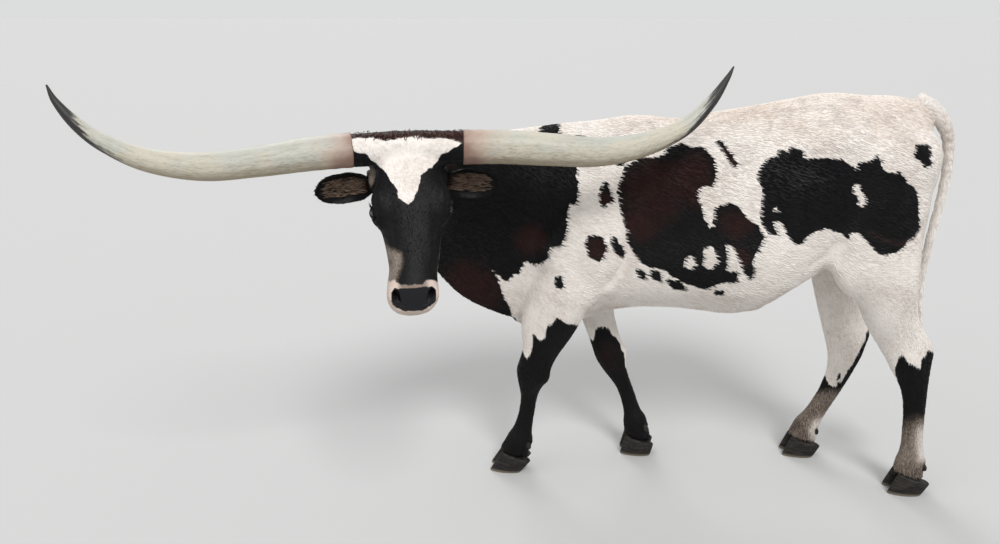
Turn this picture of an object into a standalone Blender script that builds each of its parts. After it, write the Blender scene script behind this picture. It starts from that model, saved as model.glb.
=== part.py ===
"""A Texas longhorn steer at life size, standing with its head turned to its left.

Metres, +Z up. The animal faces -X, its left side faces -Y and its hooves stand on z = 0.
The sizes below are taken from a point on the ground midway between its feet; the whole
animal is then moved so that the middle of its box lies over the origin.
"""
import math

import bmesh
import bpy
import numpy as np
from mathutils import Matrix, Vector

for old in list(bpy.data.objects):
    bpy.data.objects.remove(old, do_unlink=True)

GAP = 0.0003                      # left between pieces that meet
BOX_MIDDLE = (-0.5929, -0.2482)    # middle of the animal's box, moved over the origin
RING_POINTS = 28                  # points round the trunk, neck and skull before they fuse
LIMB_POINTS = 16                  # points round a leg before it fuses
FUSE_VOXEL = 0.006                # grain at which the flesh is fused
EASE_ROUNDS = 70                  # how far deep flesh is eased where masses meet
LEAN_SHARE = 0.12                 # the share of that on the head and lower legs
BODY_TRIANGLES = 6600
HEAD_TRIANGLES = 2500

# Trunk, front to back: x, topline, height of the widest line, underline, half width,
# and how square the upper and lower quarters are (2 is round).
TRUNK = (
    (-0.745, 0.84, 0.72, 0.60, 0.050, 2.0, 2.0),
    (-0.70, 1.00, 0.78, 0.545, 0.125, 2.0, 1.8),
    (-0.62, 1.15, 0.83, 0.525, 0.172, 1.9, 1.7),
    (-0.50, 1.245, 0.86, 0.535, 0.200, 1.75, 1.75),
    (-0.40, 1.276, 0.88, 0.580, 0.213, 1.65, 1.9),
    (-0.316, 1.288, 0.90, 0.603, 0.225, 1.6, 2.1),
    (-0.165, 1.276, 0.92, 0.612, 0.248, 1.75, 2.2),
    (-0.03, 1.302, 0.93, 0.604, 0.268, 1.9, 2.2),
    (0.097, 1.324, 0.945, 0.620, 0.274, 2.0, 2.2),
    (0.225, 1.349, 1.00, 0.700, 0.256, 2.2, 2.2),
    (0.337, 1.366, 1.06, 0.770, 0.225, 2.4, 2.1),
    (0.44, 1.358, 1.08, 0.820, 0.200, 2.2, 2.0),
    (0.544, 1.358, 1.09, 0.860, 0.160, 2.0, 2.0),
    (0.605, 1.335, 1.10, 0.920, 0.105, 2.0, 2.0),
    (0.640, 1.270, 1.12, 0.990, 0.050, 2.0, 2.0),
)

# Neck, shoulder to poll: x, y, crest, widest height, dewlap edge, half width, and how square
# the dewlap side is (under 2 it draws in to a keel).
NECK = (
    (-0.42, 0.00, 1.270, 0.93, 0.60, 0.165, 1.7),
    (-0.55, -0.01, 1.258, 0.95, 0.545, 0.162, 1.6),
    (-0.67, -0.05, 1.246, 0.98, 0.540, 0.145, 1.45),
    (-0.79, -0.12, 1.240, 1.02, 0.590, 0.120, 1.3),
    (-0.89, -0.21, 1.243, 1.07, 0.672, 0.104, 1.2),
    (-0.96, -0.32, 1.250, 1.11, 0.805, 0.094, 1.2),
    (-0.995, -0.43, 1.250, 1.13, 0.960, 0.086, 1.3),
    (-1.000, -0.51, 1.20, 1.12, 1.04, 0.060, 1.6),
)

# Legs, body to hoof: x, y, z, reach to the front, reach to the back, half width.
LEGS = {
    "front_left": (
        (-0.480, -0.110, 0.90, 0.07, 0.07, 0.050),
        (-0.520, -0.140, 0.78, 0.11, 0.10, 0.074),
        (-0.560, -0.146, 0.66, 0.115, 0.10, 0.074),
        (-0.602, -0.132, 0.555, 0.100, 0.092, 0.063),
        (-0.631, -0.115, 0.455, 0.064, 0.066, 0.049),
        (-0.652, -0.105, 0.378, 0.058, 0.057, 0.049),
        (-0.660, -0.100, 0.335, 0.049, 0.050, 0.044),
        (-0.665, -0.097, 0.280, 0.038, 0.038, 0.031),
        (-0.681, -0.092, 0.185, 0.035, 0.036, 0.026),
        (-0.697, -0.090, 0.120, 0.041, 0.042, 0.035),
        (-0.714, -0.090, 0.078, 0.051, 0.053, 0.042),
        (-0.733, -0.090, 0.030, 0.058, 0.060, 0.049),
    ),
    "front_right": (
        (-0.450, 0.110, 0.90, 0.07, 0.07, 0.050),
        (-0.450, 0.142, 0.78, 0.10, 0.10, 0.074),
        (-0.445, 0.148, 0.64, 0.098, 0.090, 0.072),
        (-0.425, 0.122, 0.520, 0.066, 0.066, 0.058),
        (-0.398, 0.098, 0.440, 0.060, 0.060, 0.048),
        (-0.374, 0.086, 0.378, 0.057, 0.056, 0.049),
        (-0.352, 0.080, 0.320, 0.050, 0.048, 0.044),
        (-0.324, 0.075, 0.262, 0.036, 0.036, 0.031),
        (-0.300, 0.070, 0.195, 0.034, 0.035, 0.026),
        (-0.281, 0.066, 0.128, 0.038, 0.038, 0.034),
        (-0.272, 0.065, 0.080, 0.049, 0.051, 0.042),
        (-0.270, 0.065, 0.030, 0.058, 0.058, 0.049),
    ),
    "hind_left": (
        (0.440, -0.085, 1.14, 0.080, 0.080, 0.045),
        (0.440, -0.130, 1.02, 0.150, 0.125, 0.085),
        (0.462, -0.150, 0.87, 0.155, 0.138, 0.092),
        (0.495, -0.150, 0.755, 0.112, 0.108, 0.079),
        (0.520, -0.140, 0.655, 0.092, 0.090, 0.064),
        (0.552, -0.128, 0.590, 0.084, 0.082, 0.050),
        (0.592, -0.120, 0.527, 0.082, 0.082, 0.043),
        (0.610, -0.116, 0.478, 0.074, 0.074, 0.041),
        (0.622, -0.112, 0.425, 0.058, 0.058, 0.036),
        (0.636, -0.108, 0.340, 0.044, 0.044, 0.029),
        (0.641, -0.105, 0.250, 0.040, 0.041, 0.026),
        (0.645, -0.102, 0.170, 0.040, 0.041, 0.028),
        (0.648, -0.100, 0.118, 0.043, 0.043, 0.036),
        (0.641, -0.100, 0.075, 0.051, 0.052, 0.042),
        (0.634, -0.100, 0.030, 0.058, 0.058, 0.049),
    ),
    "hind_right": (
        (0.420, 0.085, 1.14, 0.080, 0.080, 0.045),
        (0.410, 0.130, 1.02, 0.150, 0.140, 0.085),
        (0.415, 0.150, 0.86, 0.150, 0.140, 0.092),
        (0.432, 0.150, 0.720, 0.100, 0.100, 0.077),
        (0.450, 0.140, 0.600, 0.088, 0.088, 0.057),
        (0.464, 0.130, 0.520, 0.082, 0.082, 0.045),
        (0.476, 0.125, 0.455, 0.075, 0.086, 0.042),
        (0.470, 0.121, 0.400, 0.060, 0.074, 0.038),
        (0.454, 0.118, 0.327, 0.044, 0.056, 0.029),
        (0.430, 0.115, 0.258, 0.039, 0.046, 0.026),
        (0.393, 0.112, 0.178, 0.038, 0.038, 0.028),
        (0.357, 0.110, 0.112, 0.042, 0.042, 0.036),
        (0.341, 0.110, 0.070, 0.051, 0.053, 0.042),
        (0.335, 0.110, 0.030, 0.058, 0.058, 0.049),
    ),
}

# Hooves: x of the sole's middle, y of the cleft, and how far the coronet sits behind the sole.
HOOVES = {
    "front_left": (-0.750, -0.090, 0.030),
    "front_right": (-0.277, 0.065, 0.004),
    "hind_left": (0.622, -0.100, 0.020),
    "hind_right": (0.322, 0.110, 0.018),
}
SOLE_LENGTH = 0.116
CLAW_WIDTH = 0.044
CLEFT = 0.005
CLAW_POINTS = 14
CORONET_LENGTH = 0.108
CORONET_FRONT = 0.074             # height of the coronet at the toe
CORONET_BACK = 0.046              # and at the heel
DEWCLAW_HEIGHT = 0.100
DEWCLAW_RADII = (0.013, 0.0105, 0.019)

# Head, in its own directions: left, down the face towards the muzzle, out of the forehead.
POLL = Vector((-0.997, -0.500, 1.277))
FACING = Vector((0.2655, -0.9641, 0.0))
FACE_TILT = math.radians(36.0)    # the face line leans this far from upright
# Skull, poll to lips: distance down the face, face line, widest line, jaw line, half width,
# squareness above and below.
SKULL = (
    (-0.050, -0.075, -0.10, -0.150, 0.050, 2.0, 2.0),
    (-0.030, -0.035, -0.09, -0.185, 0.080, 2.2, 2.0),
    (0.010, 0.000, -0.08, -0.210, 0.098, 2.4, 2.0),
    (0.070, 0.014, -0.07, -0.232, 0.098, 2.6, 2.0),
    (0.140, 0.017, -0.06, -0.240, 0.104, 2.8, 1.9),
    (0.205, 0.014, -0.055, -0.228, 0.105, 2.8, 1.9),
    (0.270, 0.008, -0.055, -0.195, 0.084, 2.7, 1.9),
    (0.335, 0.004, -0.052, -0.162, 0.067, 2.6, 2.0),
    (0.395, 0.001, -0.050, -0.137, 0.060, 2.5, 2.1),
    (0.440, -0.004, -0.052, -0.126, 0.063, 2.4, 2.2),
    (0.475, -0.018, -0.056, -0.118, 0.059, 2.3, 2.2),
    (0.494, -0.038, -0.062, -0.104, 0.036, 2.0, 2.0),
)
EYE_PLACE = (0.0925, 0.2150, -0.037)
EYE_RADIUS = 0.0210
LID_THICKNESS = 0.0045
EYE_SLIT = (0.0195, 0.0115, 0.0150)
NOSTRIL = (0.0400, 0.484, -0.040)
NOSTRIL_RADII = (0.0080, 0.0150, 0.0170)
MOUTH_LINE = -0.089               # height of the mouth's line, out of the forehead's plane
MOUTH_DROOP = 0.014               # the corners of the mouth lie this much lower
MOUTH_CENTRE = 0.395
MOUTH_DEPTH = 0.008
MOUTH_WIDTH = 0.003
MOUTH_STEPS = 18
NAPE = -0.118                     # the head meets the neck this far behind the poll
HEAD_SIDE = -0.70                 # and lies on this side of the rest of the body
HORN_BASE = 0.172                 # from the middle of the poll to where horn begins
EAR_BASE = (0.118, 0.098, -0.112)
EAR_LENGTH = 0.165
EAR_WIDTH = 0.090
EAR_THICKNESS = 0.006

# Horns, base to tip, from the middle of the poll: out to the side, forward, up, radius.
HORNS = {
    "left": (
        (0.160, 0.000, -0.034, 0.0510),
        (0.280, 0.012, -0.036, 0.0500),
        (0.420, 0.025, -0.046, 0.0485),
        (0.560, 0.030, -0.056, 0.0440),
        (0.700, 0.026, -0.040, 0.0365),
        (0.830, 0.014, 0.006, 0.0270),
        (0.920, 0.002, 0.080, 0.0165),
        (0.975, -0.008, 0.150, 0.0070),
        (0.998, -0.012, 0.188, 0.0015),
    ),
    "right": (
        (0.160, 0.000, -0.034, 0.0500),
        (0.280, 0.012, -0.040, 0.0480),
        (0.420, 0.025, -0.054, 0.0430),
        (0.560, 0.030, -0.062, 0.0390),
        (0.700, 0.026, -0.040, 0.0320),
        (0.810, 0.014, 0.008, 0.0240),
        (0.880, 0.002, 0.060, 0.0150),
        (0.930, -0.008, 0.120, 0.0070),
        (0.950, -0.012, 0.165, 0.0015),
    ),
}

# Tail, root to the start of the switch: x, y, z, radius.
TAIL = (
    (0.600, 0.000, 1.328, 0.040),
    (0.645, 0.000, 1.312, 0.033),
    (0.682, 0.000, 1.275, 0.026),
    (0.706, 0.000, 1.225, 0.0205),
    (0.714, 0.000, 1.165, 0.0175),
    (0.714, 0.000, 1.090, 0.0160),
    (0.702, 0.000, 0.987, 0.0150),
    (0.684, 0.000, 0.878, 0.0140),
    (0.670, 0.000, 0.770, 0.0130),
    (0.668, 0.000, 0.666, 0.0125),
    (0.676, 0.004, 0.560, 0.0120),
    (0.684, 0.008, 0.500, 0.0110),
)
TAIL_ROOT = (0.668, 0.0, 1.291)
TAIL_END = (0.678, 0.005, 0.540)
TAIL_NOTCH = 1.225                # the tail leaves the rump above this height
SWITCH_BOTTOM = 0.215
SWITCH_LOCKS = 14
SWITCH_SEED = 7

hide = bpy.data.collections.new("texas_longhorn")
cutters = bpy.data.collections.new("cutters")
for group in (hide, cutters):
    bpy.context.scene.collection.children.link(group)

left_of_head = FACING.cross(Vector((0, 0, -1))).normalized()
down_face = FACING * math.sin(FACE_TILT) - Vector((0, 0, 1)) * math.cos(FACE_TILT)
out_of_face = FACING * math.cos(FACE_TILT) + Vector((0, 0, 1)) * math.sin(FACE_TILT)
head_turn = Matrix((left_of_head, down_face, out_of_face)).transposed()
HEAD_FRAME = Matrix.Translation(POLL) @ head_turn.to_4x4()


def finish(name, colour, roughness):
    """A plain material of one colour."""
    material = bpy.data.materials.new(name)
    material.use_nodes = True
    shader = material.node_tree.nodes["Principled BSDF"]
    shader.inputs["Base Color"].default_value = (*colour, 1.0)
    shader.inputs["Roughness"].default_value = roughness
    shader.inputs["Metallic"].default_value = 0.0
    return material


def placed(name, mesh, group=hide):
    """An object that holds the mesh, in the given collection."""
    item = bpy.data.objects.new(name, mesh)
    group.objects.link(item)
    if group is cutters:
        item.hide_render = True
        item.display_type = "WIRE"
    return item


def settled(item, name=None):
    """The object's evaluated shape as a plain mesh in world places; the old object goes."""
    graph = bpy.context.evaluated_depsgraph_get()
    mesh = bpy.data.meshes.new_from_object(item.evaluated_get(graph))
    mesh.transform(item.matrix_world)
    name = name or item.name
    bpy.data.objects.remove(item, do_unlink=True)
    return placed(name, mesh)


def spread(rows, count):
    """Rows read from a smooth curve through the given rows, evenly along its length."""
    rows = np.array(rows, float)
    steps = np.linalg.norm(np.diff(rows[:, :3], axis=0), axis=1)
    at = np.concatenate(([0.0], np.cumsum(steps)))
    slopes = np.gradient(rows, at, axis=0)
    places = np.linspace(0.0, at[-1], count)
    k = np.clip(np.searchsorted(at, places, side="right") - 1, 0, len(at) - 2)
    step = (at[k + 1] - at[k])[:, None]
    t = (places - at[k])[:, None] / step
    start = (2 * t**3 - 3 * t**2 + 1) * rows[k] + (t**3 - 2 * t**2 + t) * step * slopes[k]
    end = (3 * t**2 - 2 * t**3) * rows[k + 1] + (t**3 - t**2) * step * slopes[k + 1]
    return start + end


def ring(centre, side, up, half, above, below, square_above=2.0, square_below=2.0,
         count=RING_POINTS):
    """A closed outline round the centre, with its upper and lower halves shaped apart."""
    points = []
    for k in range(count):
        turn = 2 * math.pi * k / count
        across, rise = math.cos(turn), math.sin(turn)
        power = 2 / (square_above if rise > 0 else square_below)
        reach = above if rise > 0 else below
        points.append(centre + side * half * math.copysign(abs(across) ** power, across)
                      + up * reach * math.copysign(abs(rise) ** power, rise))
    return points


def skinned(name, rings, group=hide):
    """One closed skin over rings of equally many points."""
    bm = bmesh.new()
    loops = [[bm.verts.new(point) for point in points] for points in rings]
    for one, two in zip(loops, loops[1:]):
        for k in range(len(one)):
            bm.faces.new((one[k - 1], one[k], two[k], two[k - 1]))
    bm.faces.new(loops[0])
    bm.faces.new(loops[-1])
    bmesh.ops.recalc_face_normals(bm, faces=bm.faces)
    mesh = bpy.data.meshes.new(name)
    bm.to_mesh(mesh)
    bm.free()
    return placed(name, mesh, group)


def limb(name, rows, ahead=Vector((-1, 0, 0)), count=24, around=LIMB_POINTS, group=hide):
    """A tapering length whose rings stand square to its path: rows of x, y, z, front, back, half."""
    rows = spread(rows, count)
    rings = []
    for k, row in enumerate(rows):
        before, after = rows[max(k - 1, 0)], rows[min(k + 1, count - 1)]
        along = Vector(after[:3] - before[:3]).normalized()
        up = (ahead - along * ahead.dot(along)).normalized()
        rings.append(ring(Vector(row[:3]), up.cross(along), up, row[5], row[3], row[4], count=around))
    return skinned(name, rings, group)


def ball(name, centre, radii, frame=Matrix(), turn=(0.0, 0.0, 0.0), group=hide, segments=20,
         rings=12):
    """An ellipsoid: a muscle, a bone under the skin, or the shape of a socket."""
    bm = bmesh.new()
    place = Matrix.Translation(centre)
    for angle, axis in zip(turn, "XYZ"):
        place = place @ Matrix.Rotation(math.radians(angle), 4, axis)
    bmesh.ops.create_uvsphere(bm, u_segments=segments, v_segments=rings, radius=1.0,
                              matrix=frame @ place @ Matrix.Diagonal((*radii, 1.0)))
    bmesh.ops.recalc_face_normals(bm, faces=bm.faces)
    mesh = bpy.data.meshes.new(name)
    bm.to_mesh(mesh)
    bm.free()
    return placed(name, mesh, group)


def capsule(name, start, end, first, last, around=LIMB_POINTS, steps=6, group=hide):
    """A rounded bar between two points, given the radius at each."""
    start, end = Vector(start), Vector(end)
    rows = []
    along = (end - start).normalized()
    for k in range(steps + 1):
        turn = math.pi / 2 * k / steps
        rows.append((start - along * first * math.cos(turn), max(first * math.sin(turn), 0.001)))
    for k in range(steps + 1):
        turn = math.pi / 2 * k / steps
        rows.append((end + along * last * math.sin(turn), max(last * math.cos(turn), 0.001)))
    side = along.orthogonal().normalized()
    up = along.cross(side)
    return skinned(name, [ring(c, side, up, r, r, r, count=around) for c, r in rows], group)


def block(name, low, high, planes, group=cutters):
    """A box trimmed by planes, each a point and the direction that is cut away."""
    bm = bmesh.new()
    middle = [(a + b) / 2 for a, b in zip(low, high)]
    size = [b - a for a, b in zip(low, high)]
    place = Matrix.Translation(middle) @ Matrix.Diagonal((*size, 1.0))
    bmesh.ops.create_cube(bm, size=1.0, matrix=place)
    for point, away in planes:
        cut = bmesh.ops.bisect_plane(bm, geom=[*bm.verts, *bm.edges, *bm.faces], plane_co=point,
                                     plane_no=away, clear_outer=True)
        edges = [part for part in cut["geom_cut"] if isinstance(part, bmesh.types.BMEdge)]
        bmesh.ops.edgeloop_fill(bm, edges=edges)
    bmesh.ops.recalc_face_normals(bm, faces=bm.faces)
    mesh = bpy.data.meshes.new(name)
    bm.to_mesh(mesh)
    bm.free()
    return placed(name, mesh, group)


def copied(item, name):
    """A second object with a mesh of its own."""
    return placed(name, item.data.copy())


def combined(item, others, operation, solver="EXACT"):
    """The object after one Boolean with a set of closed objects, which then go."""
    group = bpy.data.collections.new(item.name + "_with")
    for other in others:
        group.objects.link(other)
    step = item.modifiers.new("Combine", "BOOLEAN")
    step.operation = operation
    step.operand_type = "COLLECTION"
    step.collection = group
    step.solver = solver
    done = settled(item)
    for other in list(others):
        bpy.data.objects.remove(other, do_unlink=True)
    bpy.data.collections.remove(group)
    return done


def fused(name, pieces, solver="MANIFOLD"):
    """One body from closed pieces that run into each other."""
    first, rest = pieces[0], pieces[1:]
    first.name = name
    return combined(first, rest, "UNION", solver)


def softened(item, voxel, rounds):
    """The body fused again at an even grain, its creases eased most where the flesh is deep."""
    grain = item.modifiers.new("Grain", "REMESH")
    grain.mode = "VOXEL"
    grain.voxel_size = voxel
    item = settled(item)
    deep = item.vertex_groups.new(name="deep_flesh")
    for vertex in item.data.vertices:
        place = vertex.co
        in_front_of_nape = (place - on_head(0, NAPE, 0)).dot(FACING) > -0.03 and place.x < HEAD_SIDE
        share = min(1.0, max(LEAN_SHARE, (place.z - 0.46) / 0.30))
        deep.add([vertex.index], LEAN_SHARE if in_front_of_nape else share, "REPLACE")
    ease = item.modifiers.new("Ease", "SMOOTH")
    ease.factor = 0.5
    ease.iterations = rounds
    ease.vertex_group = "deep_flesh"
    item = settled(item)
    item.vertex_groups.clear()
    return item


def thinned(item, triangles):
    """The same shape in fewer triangles."""
    item.data.calc_loop_triangles()
    thin = item.modifiers.new("Thin", "DECIMATE")
    thin.ratio = triangles / len(item.data.loop_triangles)
    return settled(item)


def largest(item):
    """Keeps the largest closed surface of the object and drops any scrap."""
    bm = bmesh.new()
    bm.from_mesh(item.data)
    left = set(bm.faces)
    islands = []
    while left:
        edge = [left.pop()]
        island = set(edge)
        while edge:
            face = edge.pop()
            for side in face.edges:
                for other in side.link_faces:
                    if other in left:
                        left.remove(other)
                        island.add(other)
                        edge.append(other)
        islands.append(island)
    islands.sort(key=lambda faces: sum(face.calc_area() for face in faces))
    for island in islands[:-1]:
        bmesh.ops.delete(bm, geom=list(island), context="FACES")
    bm.to_mesh(item.data)
    bm.free()
    return item


def dressed(item, material):
    """The finished node: its material, smooth shading and its largest surface only."""
    largest(item)
    item.data.materials.clear()
    item.data.materials.append(material)
    item.data.shade_smooth()
    return item


def on_head(side, forward, up):
    """A point from the middle of the poll: to the left, forward and up."""
    return POLL + left_of_head * side + FACING * forward + Vector((0, 0, up))


def trunk():
    """Barrel, chest and rump as one run of upright rings."""
    rings = []
    for x, top, wide, bottom, half, square_above, square_below in spread(TRUNK, 60):
        rings.append(ring(Vector((x, 0, wide)), Vector((0, 1, 0)), Vector((0, 0, 1)), half,
                          top - wide, wide - bottom, square_above, square_below))
    return skinned("trunk", rings)


def neck():
    """The neck with its dewlap, bent to the left; its rings stay upright."""
    rows = spread(NECK, 40)
    rings = []
    for k, (x, y, crest, wide, dewlap, half, square) in enumerate(rows):
        before, after = rows[max(k - 1, 0)], rows[min(k + 1, 39)]
        along = Vector((after[0] - before[0], after[1] - before[1], 0)).normalized()
        side = along.cross(Vector((0, 0, 1)))
        rings.append(ring(Vector((x, y, wide)), side, Vector((0, 0, 1)), half, crest - wide,
                          wide - dewlap, 1.8, square))
    return skinned("neck", rings)


def muscles():
    """The masses and bones that show through the hide of the shoulder, hip and legs."""
    pieces = []
    for name, side in (("left", -1), ("right", 1)):
        shift = 0.0 if side < 0 else 0.03
        pieces += [
            capsule("blade_" + name, (-0.370, side * 0.070, 1.175),
                    (-0.560 + shift, side * 0.140, 0.90), 0.060, 0.076),
            capsule("arm_" + name, (-0.590 + shift, side * 0.135, 0.870),
                    (-0.50 + shift, side * 0.150, 0.70), 0.074, 0.070),
            ball("triceps_" + name, (-0.440 + shift, side * 0.150, 0.85), (0.135, 0.072, 0.170),
                 turn=(0, -20, 0)),
            ball("hook_" + name, (0.330, side * 0.152, 1.225), (0.115, 0.062, 0.090),
                 turn=(side * 25, 0, 0)),
            ball("pin_" + name, (0.570, side * 0.094, 1.185), (0.062, 0.044, 0.070)),
            ball("rump_" + name, (0.455, side * 0.125, 1.150), (0.155, 0.095, 0.130), turn=(0, 15, 0)),
            ball("thurl_" + name, (0.445, side * 0.155, 1.090), (0.115, 0.072, 0.125)),
            ball("buttock_" + name, (0.525, side * 0.115, 1.000), (0.090, 0.080, 0.210),
                 turn=(0, -4, 0)),
        ]
    pieces += [
        ball("stifle_left", (0.395, -0.165, 0.80), (0.080, 0.055, 0.100), turn=(0, -25, 0)),
        ball("stifle_right", (0.350, 0.165, 0.79), (0.075, 0.055, 0.100), turn=(0, -20, 0)),
        ball("hock_point_left", (0.655, -0.118, 0.515), (0.030, 0.024, 0.045), turn=(0, 10, 0)),
        ball("hock_point_right", (0.535, 0.126, 0.462), (0.030, 0.024, 0.045), turn=(0, 25, 0)),
        ball("sheath", (0.070, 0.0, 0.640), (0.115, 0.034, 0.036), turn=(0, -14, 0)),
        ball("brisket", (-0.640, -0.010, 0.575), (0.110, 0.055, 0.065), turn=(0, -6, 0)),
        limb("tail_head", [(x, y, z, r, r, r) for x, y, z, r in TAIL[:5]], Vector((0, 1, 0)), 10),
    ]
    return pieces


def skull():
    """The head: skull, brows, cheeks, muzzle and lips, with the horn and ear roots."""
    rings = []
    for down, face, wide, jaw, half, square_above, square_below in spread(SKULL, 40):
        rings.append(ring(HEAD_FRAME @ Vector((0, down, wide)), left_of_head, out_of_face, half,
                          face - wide, wide - jaw, square_above, square_below))
    pieces = [skinned("skull", rings)]
    poll_end = HORN_BASE + 0.05
    pieces.append(limb("poll", [
        (*on_head(-poll_end, 0.002, -0.036), 0.050, 0.050, 0.050),
        (*on_head(-0.120, 0.000, -0.034), 0.052, 0.052, 0.052),
        (*on_head(0.000, -0.010, -0.030), 0.050, 0.056, 0.056),
        (*on_head(0.120, 0.000, -0.034), 0.052, 0.052, 0.053),
        (*on_head(poll_end, 0.002, -0.035), 0.051, 0.051, 0.051)], Vector((0, 0, 1)), 16))
    for side in (1, -1):
        pieces += [
            ball("cheek", (side * 0.055, 0.165, -0.155), (0.038, 0.095, 0.075), HEAD_FRAME),
            ball("brow", (side * 0.080, 0.185, -0.016), (0.030, 0.050, 0.026), HEAD_FRAME,
                 (0, 0, side * 8)),
            ball("orbit", (side * 0.084, 0.214, -0.040), (0.030, 0.050, 0.042), HEAD_FRAME),
            ball("nostril_wing", (side * 0.040, 0.455, -0.032), (0.022, 0.032, 0.026), HEAD_FRAME),
            ball("ear_root", (side * 0.098, 0.085, -0.105), (0.050, 0.036, 0.036), HEAD_FRAME),
        ]
    pieces += [
        ball("nose_pad", (0, 0.466, -0.044), (0.050, 0.030, 0.036), HEAD_FRAME),
        ball("upper_lip", (0, 0.450, -0.072), (0.062, 0.042, 0.024), HEAD_FRAME),
        ball("lower_lip", (0, 0.440, -0.108), (0.048, 0.046, 0.020), HEAD_FRAME),
    ]
    return pieces


def leg_block(leg, grow):
    """The space of one leg: below the elbow or flank line, on its own side of the body."""
    end, name = leg.split("_")
    side = -1 if name == "left" else 1
    flip = Vector((1, side, 1))
    planes = [(Vector((0, side * (GAP / 2 - grow), 0)), Vector((0, -side, 0)))]
    if end == "front":
        arm = Vector((0.70, 0, 1)).normalized()
        inner = (Vector((0, -2.5, 1)) * flip).normalized()
        chest = Vector((-1, 0, 0.21)).normalized()
        planes += [(Vector((-0.42, 0, 0.62)) + arm * grow, arm),
                   (Vector((0, 0, 0.45)) + inner * grow, inner),
                   (Vector((-0.72, 0, 0.62)) + chest * grow, chest)]
        low, high = (-1.2, -0.6, -0.1), (-0.12, 0.6, 1.4)
    else:
        flank = Vector((-0.80, 0, 1)).normalized()
        planes += [(Vector((0.28, 0, 0.72)) + flank * grow, flank)]
        low, high = (0.02, -0.6, -0.1), (1.2, 0.6, 1.4)
    return block("space_" + leg, low, high, planes)


def neck_block(grow):
    """The space in front of the shoulders."""
    slope = Vector((0.95, 0, -0.312)).normalized()
    at = Vector((-0.58, 0, 0.92)) + slope * grow
    return block("space_neck", (-2.0, -1.5, 0.2), (0.2, 0.8, 2.0), [(at, slope)])


def head_block(grow):
    """The space in front of the nape."""
    away = -FACING
    nape = on_head(0, NAPE, 0) + away * grow
    return block("space_head", (-2.5, -2.5, 0.5), (HEAD_SIDE, 1.5, 2.0), [(nape, away)])


def horn_block(side, grow):
    """The space beyond a horn's base."""
    out = left_of_head * side
    at = on_head(side * HORN_BASE, 0, 0) - out * grow
    return block("space_horn", (-3, -3, 1.0), (2, 2, 2.0), [(at, -out)])


def ear_frame(side):
    """The ear's own directions: out along it, across it, and towards what it hears."""
    out = (left_of_head * side + FACING * 0.10 - Vector((0, 0, 0.10))).normalized()
    facing = (FACING * 0.93 + Vector((0, 0, -0.25)) - left_of_head * side * 0.10)
    facing = (facing - out * facing.dot(out)).normalized()
    across = facing.cross(out) * side
    base = HEAD_FRAME @ Vector((side * EAR_BASE[0], EAR_BASE[1], EAR_BASE[2]))
    return base, out, across, facing


def ear_block(side, grow):
    """The space beyond an ear's base."""
    base, out, across, facing = ear_frame(side)
    frame = Matrix((across, facing, out)).transposed().to_4x4()
    item = block("space_ear", (-0.056, -0.042, -grow), (0.056, 0.062, 0.22), [])
    item.data.transform(Matrix.Translation(base) @ frame)
    if frame.determinant() < 0:
        item.data.flip_normals()
    return item


def ear(side, name):
    """A cupped leaf of even thickness on a short stalk, open towards the front."""
    base, out, across, facing = ear_frame(side)
    lengths, widths = 9, 6
    bm = bmesh.new()
    rows = []
    for i in range(lengths + 1):
        far = i / lengths
        half = EAR_WIDTH / 2 * (0.42 + 0.58 * math.sin(math.pi / 2 * min(1, far / 0.45)))
        half *= math.sqrt(max(1 - max(0, (far - 0.50) / 0.51) ** 2.4, 0.01))
        curl = math.pi * (0.46 + 0.36 * max(0, 1 - far / 0.35) ** 1.5 - 0.20 * far**2)
        cup = 0.80 - 0.35 * far
        row = []
        for j in range(widths + 1):
            turn = (j / widths * 2 - 1) * curl
            radius = half / math.sin(min(math.pi / 2, curl))
            bend = 1 - math.cos(turn)
            point = (base + out * (far * EAR_LENGTH - 0.012 - 0.02 * bend * far)
                     + across * radius * math.sin(turn) + facing * radius * cup * bend)
            row.append(bm.verts.new(point - facing * half * cup * 0.8))
        rows.append(row)
    for one, two in zip(rows, rows[1:]):
        for j in range(widths):
            bm.faces.new((one[j], one[j + 1], two[j + 1], two[j]))
    bmesh.ops.triangulate(bm, faces=bm.faces)
    mesh = bpy.data.meshes.new(name)
    bm.to_mesh(mesh)
    bm.free()
    item = placed(name, mesh)
    wall = item.modifiers.new("Wall", "SOLIDIFY")
    wall.thickness = EAR_THICKNESS
    wall.offset = 0.0
    item = settled(item)
    back = facing * 0.010
    stalk = capsule("stalk", base - out * 0.03 - back, base - out * 0.006 - back, 0.022, 0.018, 12, 2)
    item = fused(name, [item, stalk], "EXACT")
    return combined(item, [ear_block(side, 0.0)], "INTERSECT")


def horn(side, name):
    """One horn as a tube that tapers along its sweep to a blunt tip."""
    rows = spread([(side * out, ahead, up, radius) for out, ahead, up, radius in HORNS[name]], 20)
    curve = bpy.data.curves.new("horn_" + name, "CURVE")
    curve.dimensions = "3D"
    curve.bevel_depth = 1.0
    curve.bevel_resolution = 3
    curve.use_fill_caps = True
    line = curve.splines.new("POLY")
    line.points.add(len(rows) - 1)
    for point, (out, ahead, up, radius) in zip(line.points, rows):
        point.co = (*on_head(out, ahead, up), 1.0)
        point.radius = max(radius, 0.0015)
    item = placed("horn_" + name, curve)
    item = settled(item)
    bm = bmesh.new()
    bm.from_mesh(item.data)
    bmesh.ops.remove_doubles(bm, verts=bm.verts, dist=0.00005)
    bmesh.ops.recalc_face_normals(bm, faces=bm.faces)
    bm.to_mesh(item.data)
    bm.free()
    return combined(item, [horn_block(side, 0.0)], "INTERSECT")


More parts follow.
